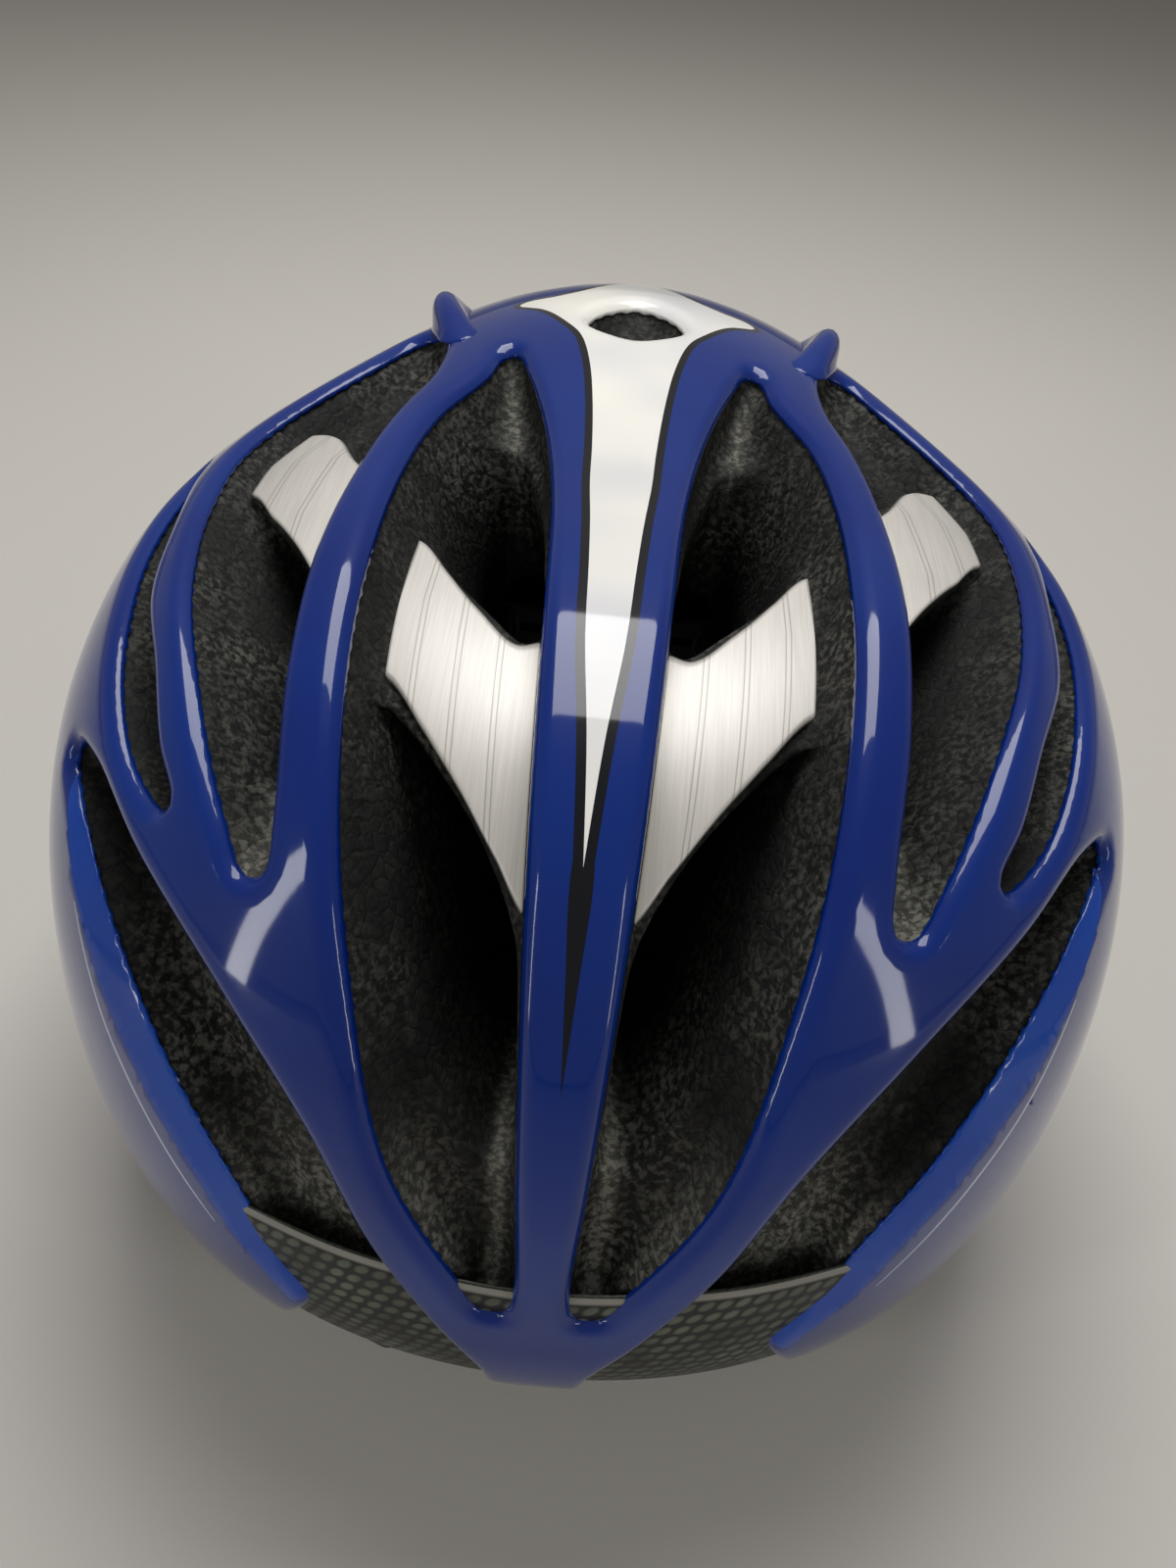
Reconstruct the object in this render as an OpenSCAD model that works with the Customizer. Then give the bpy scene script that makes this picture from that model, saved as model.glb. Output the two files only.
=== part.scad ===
// Road cycling helmet: vented in-mould shell, foam liner, dial-adjusted
// retention cradle and harness. +Z up, the front faces -Y, the wearer's left
// is +X, and the origin lies on the table under the middle of the helmet.

/* [Helmet envelope] */
// Half of the outer width
half_w = 112; // [104:1:118]
// Reach of the shell in front of its centre
front_reach = 118; // [112:1:124]
// Reach of the shell behind its centre
rear_reach = 170; // [164:1:176]
// Height of the crown above the widest level
crown_h = 96; // [90:1:102]
// Depth of the envelope below the widest level
chin_h = 77; // [73:1:81]
// Height of the widest level above the table
equator_z = 66; // [62:1:70]
// Fullness of the shoulders
shoulder = 0.14; // [0.1:0.01:0.16]

/* [Walls] */
// Wall of the glossy upper shell
shell_t = 1.6; // [1.2:0.1:2.2]
// Wall of the woven-look lower shell
lower_t = 1.4; // [1:0.1:1.8]
// Clearance between a shell and what lies under it
skin_gap = 0.25; // [0.2:0.05:0.4]
// Foam at the sides
foam_side = 30; // [28:1:34]
// Foam at the forehead
foam_front = 34; // [32:1:38]
// Foam behind the head
foam_rear = 34; // [32:1:38]
// Foam over the crown
foam_crown = 32; // [30:1:36]
// Depth of the channels between the ribs
channel_depth = 13; // [11:1:15]
// Wall of the bright skins on the cross bridges
bridge_t = 1.2; // [1:0.1:1.6]

/* [Pads and webbing] */
// Thickness of the comfort pads
pad_t = 6; // [4:0.5:7]
// Clearance behind a pad
pad_gap = 0.6; // [0.5:0.1:0.8]
// Width of the webbing
web_w = 15; // [13:1:16]
// Thickness of the webbing
web_t = 1.2; // [1:0.1:1.4]

/* [Retention] */
// Height of the retention belt above the table
belt_z = 28; // [27:1:30]
// Height of the belt strip
belt_h = 12; // [11:0.5:13]
// Thickness of the belt strip
belt_t = 1.4; // [1.2:0.1:1.6]
// How far the temple hinge stands in from the foam's inner face
hinge_inset = 12; // [11:0.5:13]
// Place of the temple hinge from front to back
hinge_y = -26; // [-28:1:-24]
// Radius of the temple pin
temple_pin_r = 3; // [2.5:0.1:3.3]
// Radius of the dial
dial_r = 17; // [15:0.5:18]
// Length of the dial's grip
dial_len = 8; // [6:0.5:9]
// Module of the dial's gear and the belt racks
gear_m = 0.8; // [0.8:0.1:0.8]

/* [Buckle] */
// Length of the buckle's socket
socket_len = 26; // [24:1:28]
// Width of the buckle
buckle_w = 24; // [22:1:26]
// Thickness of the buckle
buckle_t = 8; // [7:0.5:9]

/* [Hidden] */

hinge_x = half_w - foam_side - hinge_inset;

// ---- the envelope: a smooth egg around the point (0, centre_y, equator_z) ----
centre_y = -(rear_reach - front_reach) / 2;
rear_taper = 0.06;    // drawn in at the rear corners
lower_fullness = 60;  // fuller sides and nape below the widest level

function env_r(rho, ph) =
    let (dx = sin(rho) * sin(ph), dy = -sin(rho) * cos(ph), dz = cos(rho),
         behind = cos(ph) < 0 ? 1 : 0,
         b = (front_reach + rear_reach) / 2 + (front_reach - rear_reach) / 2 * cos(ph),
         c = (crown_h + chin_h) / 2 + (crown_h - chin_h) / 2 * dz
             + lower_fullness * max(0, -dz) * (1 - pow(max(0, cos(ph)), 2)),
         e = 1 / norm([dx / half_w, dy / b, dz / c]))
    e * (1 + shoulder * pow(sin(2 * rho), 2))
      * (1 - rear_taper * behind * pow(sin(rho) * sin(2 * ph), 2));

// A point at the given depth under the envelope, in polar angles
function polar(rho, ph, depth) =
    let (r = env_r(rho, ph) - depth)
    [r * sin(rho) * sin(ph), centre_y - r * sin(rho) * cos(ph), equator_z + r * cos(rho)];

// The same from the flattened map: u degrees to the left, v degrees to the rear
function on_env(uv, depth) = polar(norm(uv), atan2(uv[0], -uv[1]), depth);

// Catmull-Rom curve through a list of points or numbers, at x from 0 to len - 1
function curve(p, x) =
    let (n = len(p), i = min(floor(x), n - 2), f = x - i,
         a = p[max(i - 1, 0)], b = p[i], c = p[i + 1], d = p[min(i + 2, n - 1)])
    0.5 * (2 * b + (c - a) * f + (2 * a - 5 * b + 4 * c - d) * f * f
           + (3 * b - a - 3 * c + d) * f * f * f);

// Heights of the rim and of the lower shell's top edge, every 15 degrees
// from the front (0) round to the rear (180)
RIM_Z = [20, 19, 16, 8, 0, 0, 5, 13, 14, 7, 0, 0, 0];
LOWER_TOP_Z = [77, 77, 73, 52, 30, 20, 22, 30, 32, 27, 20, 20, 22];

// Polar angle at which the envelope reaches a height, by bisection
function angle_at(z, ph, lo = 60, hi = 150, n = 22) =
    let (mid = (lo + hi) / 2)
    n == 0 ? mid
    : equator_z + env_r(mid, ph) * cos(mid) > z ? angle_at(z, ph, mid, hi, n - 1)
    : angle_at(z, ph, lo, mid, n - 1);
function around(table, ph) = curve(table, (ph > 180 ? 360 - ph : ph) / 15);
function rim_z(ph) = max(0, around(RIM_Z, ph));

// ---- shells: one grid serves every layer, so that their facets run parallel ----
COLS = 48;        // steps round the helmet
UPPER_ROWS = 11;  // steps from the crown to the lower shell's edge
EDGES = [for (k = [0:COLS - 1])
    let (ph = 360 * k / COLS)
    [angle_at(around(LOWER_TOP_Z, ph), ph), angle_at(rim_z(ph), ph)]];

// Ring of points; at 0..1 lies over the upper part, 1..2 over the lower strip,
// and the ring at 2 keeps to the level of the rim
function ring(at, depth) = [for (k = [0:COLS - 1])
    let (e = EDGES[k], ph = 360 * k / COLS,
         rho = at <= 1 ? at * e[0] : e[0] + (at - 1) * (e[1] - e[0]),
         p = polar(rho, ph, depth))
    at < 2 ? p : [p[0], p[1], rim_z(ph)]];

// Two triangles on the corners a, b, c, d of a cell, split from a to c or from b to d
function cell(a, b, c, d, a_to_c) = a_to_c ? [[a, b, c], [a, c, d]] : [[a, b, d], [b, c, d]];

// Closed solid through rings of equal length, capped to a point at both ends.
// The cells mirror from side to side, and from the ring turn on they are split
// the other way, so that the inner surface's facets lie under the outer one's.
module rings_solid(first, rings, last, turn = 1000) {
    n = len(rings[0]);
    m = len(rings);
    pts = [first, each [for (r = rings) each r], last];
    tip = len(pts) - 1;
    function at(i, k) = 1 + i * n + k % n;
    polyhedron(pts, [
        for (k = [0:n - 1]) [0, at(0, k + 1), at(0, k)],
        for (i = [0:m - 2], k = [0:n - 1])
            each cell(at(i, k), at(i, k + 1), at(i + 1, k + 1), at(i + 1, k), (k < n / 2) != (i >= turn)),
        for (k = [0:n - 1]) [tip, at(m - 1, k), at(m - 1, k + 1)]], convexity = 6);
}

// Closed band through rings of equal length, the last joined to the first
module band_solid(rings, turn) {
    n = len(rings[0]);
    m = len(rings);
    function at(i, k) = (i % m) * n + k % n;
    polyhedron([for (r = rings) each r], [
        for (i = [0:m - 1], k = [0:n - 1])
            each cell(at(i, k), at(i, k + 1), at(i + 1, k + 1), at(i + 1, k), (k < n / 2) != (i >= turn))],
        convexity = 6);
}

// Closed slab between two grids of points, rows running to the rear (i)
// and columns to the left (j)
module slab(top, bottom) {
    n = len(top);
    m = len(top[0]);
    pts = [each [for (r = top) each r], each [for (r = bottom) each r]];
    function t(i, j) = i * m + j;
    function b(i, j) = n * m + i * m + j;
    function quad(p, q, r, s) = [[p, q, r], [p, r, s]];
    polyhedron(pts, [
        for (i = [0:n - 2], j = [0:m - 2]) each quad(t(i, j), t(i + 1, j), t(i + 1, j + 1), t(i, j + 1)),
        for (i = [0:n - 2], j = [0:m - 2]) each quad(b(i, j), b(i, j + 1), b(i + 1, j + 1), b(i + 1, j)),
        for (i = [0:n - 2]) each quad(t(i, 0), b(i, 0), b(i + 1, 0), t(i + 1, 0)),
        for (i = [0:n - 2]) each quad(t(i, m - 1), t(i + 1, m - 1), b(i + 1, m - 1), b(i, m - 1)),
        for (j = [0:m - 2]) each quad(t(0, j), t(0, j + 1), b(0, j + 1), b(0, j)),
        for (j = [0:m - 2]) each quad(t(n - 1, j), b(n - 1, j), b(n - 1, j + 1), t(n - 1, j + 1))],
        convexity = 8);
}

// ---- vents: each lies between a right and a left edge on the flattened map ----
INNER_VENT = [[[4.6, -88], [7.6, -88]], [[3.5, -85], [10, -84.5]], [[3.6, -72], [16.3, -72]],
              [[4.1, -56], [18.6, -55]], [[5, -38], [20.6, -38]], [[6.2, -20], [22.3, -20]],
              [[7.6, -4], [22.6, -3]], [[9.6, 10], [20.5, 10]], [[12, 20], [16.2, 19]],
              [[13.4, 23.5], [14.8, 23]]];
OUTER_VENT = [[[26.4, -47], [28.4, -47]], [[25.7, -42.5], [30.6, -42.5]], [[26.5, -31], [35, -31]],
              [[27.4, -17], [39.8, -17]], [[27, -4], [42, -4]], [[25.2, 9], [41.5, 9]],
              [[22.5, 19], [36.8, 20]], [[21.8, 27], [30.5, 29]], [[23, 33], [26, 34]]];
SMALL_VENT = [[[36.3, -40], [37.4, -40.4]], [[38.2, -35], [42, -35.2]], [[40.6, -27], [45.6, -27]],
              [[44.4, -17], [48.2, -17]], [[45.6, -6], [50, -6]], [[46.5, 4], [49.5, 5]],
              [[47, 10], [48.2, 10.5]]];
SIDE_VENT = [[[9.4, -101.5], [35, -91]], [[15, -90], [36.6, -84]], [[20.2, -79.5], [38, -75]],
             [[24.6, -67], [41.6, -64]], [[31.7, -55], [45, -53.5]], [[40.5, -43], [49, -43]],
             [[47.5, -33], [52.4, -34]], [[53, -28.5], [54.2, -29.5]]];
CHIN_GAP = [[[11, -132], [66, -112]], [[9.8, -110], [45, -98]], [[9.3, -99.5], [35.4, -90]]];
EYE_VENT = [[[-0.8, 26.2], [0.8, 26.2]], [[-4.6, 28.4], [4.6, 28.4]], [[-5.4, 30.6], [5.4, 30.6]],
            [[-4, 33.4], [4, 33.4]], [[-0.8, 35.6], [0.8, 35.6]]];
REAR_VENT = [[[8.6, 45], [11.6, 44.4]], [[8, 50], [17, 49]], [[7.6, 60], [19.6, 59]],
             [[7.4, 70], [19, 70]], [[7.6, 78], [15.5, 79]], [[8.6, 83], [11, 83.4]]];
CORNER_VENT = [[[30.6, 38.4], [33.6, 36.6]], [[27.4, 45], [40.5, 40]], [[25.8, 56], [43.8, 50]],
               [[25.4, 68], [41, 63]], [[27, 77], [35, 74]], [[29.2, 81], [31.6, 80.2]]];
FLANK_VENT = [[[60, -14], [62.4, -14.6]], [[57.6, -6], [67.8, -8]], [[56.4, 8], [70.6, 6]],
              [[55, 22], [70, 22]], [[53.4, 35], [65, 38]], [[53, 42], [57.4, 44.6]]];
NAPE_VENT = [[[7, 92], [9.4, 91]], [[7, 96], [17, 93.4]], [[8, 100], [21, 98]], [[12, 102.6], [18.4, 102]]];
PAIRED_VENTS = [INNER_VENT, OUTER_VENT, SMALL_VENT, REAR_VENT, CORNER_VENT, FLANK_VENT, NAPE_VENT];

function edge(vent, side, x) = curve([for (pair = vent) pair[side]], x);

// Grid of map points over a vent between two stations of its outline
function vent_grid(vent, from, to, steps, across) = [
    for (i = [0:steps])
        let (x = from + (to - from) * i / steps,
             r = edge(vent, 0, x), l = edge(vent, 1, x))
        [for (j = [0:across]) r + (l - r) * j / across]];

// A cutter through the shell, from above the envelope to the given depth
module through(vent, depth, steps = 10, across = 1) {
    g = vent_grid(vent, 0, len(vent) - 1, steps, across);
    slab([for (r = g) [for (q = r) on_env(q, -6)]],
         [for (r = g) [for (q = r) on_env(q, depth)]]);
}

// A trough in the foam: full depth along its middle, with a ramp at each end
module trough(vent, depth, front_ramp, rear_ramp, shallow = 3, steps = 10, across = 2) {
    last = len(vent) - 1;
    g = vent_grid(vent, 0, last, steps, across);
    slab([for (r = g) [for (q = r) on_env(q, -6)]],
         [for (i = [0:steps]) let (x = last * i / steps,
              ramp = min(1, x / front_ramp, (last - x) / rear_ramp))
              [for (j = [0:across]) on_env(g[i][j], shallow + (depth - shallow) * ramp)]]);
}

// An air passage from a channel's floor into the head space
module passage(vent, steps = 6, across = 1) {
    g = vent_grid(vent, 0, len(vent) - 1, steps, across);
    slab([for (r = g) [for (q = r) on_env(q, channel_depth - 4)]],
         [for (r = g) [for (q = r) on_env(q * 0.97, passage_depth)]]);
}
passage_depth = 52;
FRONT_PASSAGE = [[[5.6, -72], [8.4, -72]], [[5.2, -66], [12.6, -65]], [[5.6, -58], [15.4, -56]],
                 [[7.6, -51], [18, -46]], [[13, -44], [20, -36]], [[18.6, -37], [20.6, -33]]];
REAR_PASSAGE = [[[7.4, -22], [11, -21]], [[8.4, -14], [17.8, -11]], [[9.6, -5], [21.6, -2]],
                [[11, 4], [21.8, 6]], [[12.6, 11], [18.8, 13]]];
OUTER_FRONT_PASSAGE = [[[29, -38], [31.6, -37.4]], [[29.6, -31], [36, -30]], [[31, -24], [39.4, -20]],
                       [[34.6, -19], [40.8, -13]]];
OUTER_REAR_PASSAGE = [[[29.4, 7], [33.6, 11]], [[28, 13], [35, 17]], [[26.6, 20], [31.6, 23]],
                      [[26, 26], [28, 27]]];
PASSAGES = [FRONT_PASSAGE, REAR_PASSAGE, OUTER_FRONT_PASSAGE, OUTER_REAR_PASSAGE,
            [[[9.6, 52], [15, 51.4]], [[9.4, 60], [17.4, 59.4]], [[9.4, 70], [16.6, 70]], [[9.8, 76], [13, 76.4]]],
            [[[30, 48], [37, 45]], [[28.4, 56], [41, 51.6]], [[28.2, 66], [38.6, 62]], [[29.4, 73], [33.6, 72]]]];

module both_sides() {
    children();
    mirror([1, 0, 0]) children();
}

// Raised trailing fins of the two outer ribs
FIN_UV = [[22.5, 30], [23.5, 33], [24.3, 36.5], [24, 40], [23, 44]];
FIN_H = [1, 4.5, 7.5, 4, 1];
fin_r = 1.6;
module fin() {
    for (i = [0:len(FIN_UV) - 2])
        hull() {
            for (k = [i, i + 1], h = [-0.5 - fin_r / 2, -FIN_H[k]])
                translate(on_env(FIN_UV[k], h + shell_t / 2)) sphere(fin_r, $fn = 8);
        }
}

module upper_shell() {
    color("mediumblue")
    difference() {
        union() {
            rings_solid(polar(0, 0, 0), [
                for (i = [1:UPPER_ROWS]) ring(i / UPPER_ROWS, 0),
                ring(1.4, 0), ring(1.75, 0), ring(1.75, shell_t), ring(1.4, shell_t),
                for (i = [UPPER_ROWS:-1:1]) ring(i / UPPER_ROWS, shell_t)],
                polar(0, 0, shell_t), UPPER_ROWS + 2);
            both_sides() fin();
        }
        both_sides() {
            for (v = PAIRED_VENTS) through(v, shell_t + 3);
            through(SIDE_VENT, shell_t + 3, 12, 2);
            through(CHIN_GAP, shell_t + 3, 3, 3);
        }
        through(EYE_VENT, shell_t + 3, 8);
    }
}

lower_depth = shell_t + skin_gap;
module lower_shell() {
    color("dimgray")
    band_solid([ring(1.02, lower_depth), ring(1.4, lower_depth), ring(1.75, lower_depth),
                ring(2, lower_depth), ring(2, lower_depth + lower_t),
                ring(1.75, lower_depth + lower_t), ring(1.4, lower_depth + lower_t),
                ring(1.02, lower_depth + lower_t)], 4);
}

// ---- head space ----
cav_w = half_w - foam_side;
cav_front = front_reach - foam_front - centre_y;
cav_rear = rear_reach - foam_rear + centre_y;
cav_y = (cav_rear - cav_front) / 2;
cav_l = (cav_front + cav_rear) / 2;
cav_z = 40;  // level below which the head space runs straight down
cav_h = equator_z + crown_h - foam_crown - cav_z;

// A point on the head space's wall, moved inwards by d
function on_cav(tilt, ph, d) = [(cav_w - d) * sin(tilt) * sin(ph),
    cav_y - (cav_l - d) * sin(tilt) * cos(ph), cav_z + (cav_h - d) * cos(tilt)];

module head_space() {
    rows = 12;
    cols = 48;
    function ring_c(t) = [for (k = [0:cols - 1]) on_cav(t, 360 * k / cols, 0)];
    foot = ring_c(90);
    rings_solid([0, cav_y, cav_z + cav_h], [for (i = [1:rows]) ring_c(90 * i / rows),
        [for (p = foot) [p[0], p[1], -10]]], [0, cav_y, -10]);
}

// ---- foam liner ----
anchor_r = 9;               // temple anchor's boss
anchor_x = hinge_x + 2;     // its inner face
anchor_depth = 12;
pin_y = hinge_y - 14;       // the temple pins lie ahead of the belt arms' hinges
seat_gap = 0.3;
STRAP_PLACES = [98, 128];   // polar places of the front and rear strap anchors
strap_anchor_r = 6;
strap_anchor_h = 5;
strap_anchor_low = 2.4;     // how far an anchor stands out under the rim
function strap_foot(a) = let (p = polar(angle_at(10, a), a, 11.5)) [p[0], p[1], rim_z(a)];

module eps_liner() {
    foam_depth = lower_depth;
    strip_depth = lower_depth + lower_t + skin_gap;
    rim_in = [for (p = ring(2, strip_depth)) [p[0] * 0.6, cav_y + (p[1] - cav_y) * 0.6, p[2]]];
    color([0.13, 0.13, 0.14])
    difference() {
        rings_solid(polar(0, 0, foam_depth), [
            for (i = [1:UPPER_ROWS]) ring(i / UPPER_ROWS, foam_depth),
            ring(1.0, strip_depth), ring(1.4, strip_depth), ring(1.75, strip_depth),
            ring(2, strip_depth), rim_in], [0, cav_y, 12]);
        head_space();
        both_sides() {
            trough(INNER_VENT, channel_depth, 2.4, 2.4, steps = 16, across = 4);
            trough(OUTER_VENT, channel_depth, 2, 2, steps = 14, across = 3);
            trough(SMALL_VENT, channel_depth, 2, 2, steps = 7, across = 1);
            trough([for (i = [2:len(SIDE_VENT) - 1]) SIDE_VENT[i]], channel_depth, 1.6, 1.6, 4, steps = 9, across = 3);
            trough(REAR_VENT, channel_depth, 1.5, 1.5, steps = 7);
            trough(CORNER_VENT, channel_depth, 1.5, 1.5, steps = 7);
            trough(FLANK_VENT, channel_depth - 3, 2, 2, steps = 7);
            trough(NAPE_VENT, 7, 1, 1, steps = 6, across = 2);
            for (p = PASSAGES) passage(p);
            // seat of the temple anchor
            hull() {
                for (x = [anchor_x - 12, anchor_x + anchor_depth + seat_gap])
                    translate([x, pin_y, belt_z]) rotate([0, 90, 0])
                        cylinder(r = anchor_r + seat_gap, h = 0.1, $fn = 24);
            }
            // seats of the strap anchors
            for (a = STRAP_PLACES) hull() {
                for (z = [-4, strap_anchor_h + seat_gap])
                    translate(strap_foot(a) + [0, 0, z])
                        cylinder(r = strap_anchor_r + seat_gap, h = 0.1, $fn = 16);
            }
            // pockets that hold the pads' fasteners
            for (q = [[-40, 66], [-18, 70]]) hull() {
                for (d = [-1, 4]) translate(on_cav(q[1] - 20, q[0], -d)) sphere(2.4, $fn = 6);
            }
        }
        trough(EYE_VENT, 8, 1.5, 1.5, steps = 8, across = 2);
    }
}

// ---- bright skins on the cross bridges ----
// A bridge sweeps back from the middle: front and rear edges on the flattened
// map, at fractions of the way from the channel's inner wall to its outer wall
INNER_BRIDGE = [[0, -51.5, -25.5], [0.2, -46, -26.4], [0.45, -40.5, -24], [0.7, -35.5, -18.5], [1, -30.5, -10]];
OUTER_BRIDGE = [[0, -20.5, -2], [0.25, -16.5, 4], [0.5, -10.5, 9], [0.75, -4.5, 11.5], [1, 2, 12.5]];
wall_margin = 0.6;  // degrees between a skin and the channel's walls
bridge_gap = 0.45;  // clearance over the channel's floor

function wall_at(vent, side, v) = lookup(v, [for (pair = vent) [pair[side][1], pair[side][0]]]);
function bridge_grid(vent, bridge, depth, rows = 4, cols = 8) = [
    for (i = [0:rows]) [for (j = [0:cols])
        let (f = j / cols, x = lookup(f, [for (k = [0:len(bridge) - 1]) [bridge[k][0], k]]),
             b = curve(bridge, x),
             v = b[1] + (b[2] - b[1]) * i / rows,
             r = wall_at(vent, 0, v) + wall_margin, l = wall_at(vent, 1, v) - wall_margin)
        on_env([r + (l - r) * f, v], depth)]];
module bridge_skin(vent, bridge) {
    floor_depth = channel_depth - bridge_gap;
    color("silver")
    slab(bridge_grid(vent, bridge, floor_depth - bridge_t), bridge_grid(vent, bridge, floor_depth));
}

// ---- comfort pads: patches of the head space's wall, full in the middle ----
function pad_grid(u0, u1, v0, v1, inner, rows, cols) = [
    for (i = [0:rows]) [for (j = [0:cols])
        let (u = u0 + (u1 - u0) * j / cols, v = v0 + (v1 - v0) * i / rows,
             swell = pow(max(0, sin(180 * i / rows) * sin(180 * j / cols)), 0.4))
        on_cav(norm([u, v]), atan2(u, -v), pad_gap + (inner ? pad_t * (0.3 + 0.7 * swell) : 0))]];
module pad(u0, u1, v0, v1, rows = 5, cols = 5) {
    color([0.16, 0.16, 0.17])
    slab(pad_grid(u0, u1, v0, v1, false, rows, cols), pad_grid(u0, u1, v0, v1, true, rows, cols));
}
module front_pad() {
    pad(-34, 34, -80, -68, 4, 12);
}

// ---- temple fittings: the pin lies along X, ahead of the belt arm's hinge ----
pin_len = 5.6;
cap_t = 1.2;
run_gap = 0.08;     // running clearance of the pins
swivel_t = 2.8;
swivel_x = hinge_x - swivel_t / 2;
module temple_anchor() {
    color([0.1, 0.1, 0.1])
    translate([anchor_x, pin_y, belt_z]) rotate([0, 90, 0]) {
        cylinder(r = anchor_r, h = anchor_depth, $fn = 48);
        translate([0, 0, -pin_len]) cylinder(r = temple_pin_r, h = pin_len + 1, $fn = 48);
    }
}
module temple_cap() {
    color([0.25, 0.25, 0.25])
    translate([anchor_x - pin_len - cap_t, pin_y, belt_z]) rotate([0, 90, 0])
        cylinder(r = temple_pin_r + 1.6, h = cap_t, $fn = 48);
}

hinge_pin_r = 1.5;
lug_r = 3.2;
lug_t = 2.2;
lug_gap = 0.3;
module temple_swivel() {
    fork = belt_h / 2 + lug_gap;
    color([0.12, 0.12, 0.12])
    translate([0, 0, belt_z]) {
        difference() {
            union() {
                translate([swivel_x, pin_y, 0]) rotate([0, 90, 0])
                    cylinder(r = temple_pin_r + 3.5, h = swivel_t, $fn = 48);
                translate([swivel_x, pin_y, -5]) cube([swivel_t, hinge_y - pin_y - 5, 10]);
            }
            translate([swivel_x - 1, pin_y, 0]) rotate([0, 90, 0])
                cylinder(r = temple_pin_r + run_gap, h = swivel_t + 2, $fn = 48);
        }
        translate([swivel_x, hinge_y - 8, -fork - lug_t]) cube([swivel_t, 3, 2 * (fork + lug_t)]);
        for (z = [-fork - lug_t, fork]) translate([0, 0, z]) {
            translate([swivel_x, hinge_y - 6, 0]) cube([swivel_t, 6, lug_t]);
            translate([hinge_x, hinge_y, 0]) cylinder(r = lug_r, h = lug_t, $fn = 32);
        }
        translate([hinge_x, hinge_y, -fork - 1]) cylinder(r = hinge_pin_r, h = 2 * fork + 2, $fn = 32);
    }
}

// ---- retention belt: two arms whose racks pass through the dial's housing ----
teeth = 8;
pitch_r = gear_m * teeth / 2;
tooth_p = PI * gear_m;
rack_play = 0.35;         // slack on each flank of a tooth
rack_y = 84;              // middle plane of the left arm's rack
rack_pitch_y = belt_t + 1.8;  // the right arm's rack lies behind it
gear_y = rack_y + rack_pitch_y / 2;
tip_x = 14;               // reach of a rack past the middle
ARM_PATH = [[hinge_x - 0.2, hinge_y + 1.8], [hinge_x - 0.4, hinge_y + 18], [hinge_x - 3.4, hinge_y + 40],
            [59.5, 36], [49.5, 56], [38, 71.5], [28, rack_y - 4.4], [20, rack_y - 0.9], [tip_x, rack_y], [8, rack_y]];
SLOT_PLACES = [for (x = [1.2:0.42:5.8]) x];

function arm_point(shift, x) = curve(ARM_PATH, x)
    + [0, shift * pow(min(1, max(0, x / (len(ARM_PATH) - 3))), 2)];
function arm_dir(shift, x) = let (d = arm_point(shift, x + 0.05) - arm_point(shift, max(0, x - 0.05))) d / norm(d);
function beside(p, d, t) = [p[0] - d[1] * t, p[1] + d[0] * t];

// One tooth of the rack, pointing down from its root line
module rack_tooth() {
    w = tooth_p / 2 - rack_play;
    polygon([[-w * 0.7, 0.4], [-w * 0.7, 0], [-w * 0.27, -1.2], [w * 0.27, -1.2], [w * 0.7, 0], [w * 0.7, 0.4]]);
}

// An arm for the wearer's left; shift moves its rack back, up is 1 or -1 for
// the edge of the window that carries the teeth
module belt_arm(shift, up) {
    steps = 36;
    last = len(ARM_PATH) - 1.1;
    xs = [for (i = [0:steps]) last * i / steps];
    window_l = 2 * (tip_x - 4);
    root = pitch_r + 0.75;
    color([0.12, 0.12, 0.13])
    translate([0, 0, belt_z]) difference() {
        union() {
            translate([0, 0, -belt_h / 2]) linear_extrude(belt_h) {
                polygon([each [for (x = xs) beside(arm_point(shift, x), arm_dir(shift, x), belt_t / 2)],
                         each [for (i = [steps:-1:0]) beside(arm_point(shift, xs[i]), arm_dir(shift, xs[i]), -belt_t / 2)]]);
            }
            translate([-tip_x, rack_y + shift - belt_t / 2, -belt_h / 2]) cube([tip_x + 9, belt_t, belt_h]);
            translate([hinge_x, hinge_y, -belt_h / 2]) cylinder(r = lug_r - 0.2, h = belt_h, $fn = 32);
        }
        translate([hinge_x, hinge_y, -belt_h]) cylinder(r = hinge_pin_r + run_gap, h = 2 * belt_h, $fn = 32);
        // window that the dial's gear works in
        translate([0, rack_y + shift + 2, 0]) rotate([90, 0, 0]) linear_extrude(4) difference() {
            translate([-window_l / 2, up > 0 ? -root - 0.4 : -root])
                square([window_l, 2 * root + 0.4]);
            for (k = [-3:3]) translate([k * tooth_p, up * root]) mirror([0, up > 0 ? 0 : 1]) rack_tooth();
        }
        // paired adjustment slots
        for (x = SLOT_PLACES) {
            p = arm_point(shift, x);
            d = arm_dir(shift, x);
            for (z = [-2.7, 2.7]) translate([p[0], p[1], z]) rotate([0, 0, atan2(d[1], d[0])])
                cube([4.4, 4, 2.2], center = true);
        }
    }
}

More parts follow.
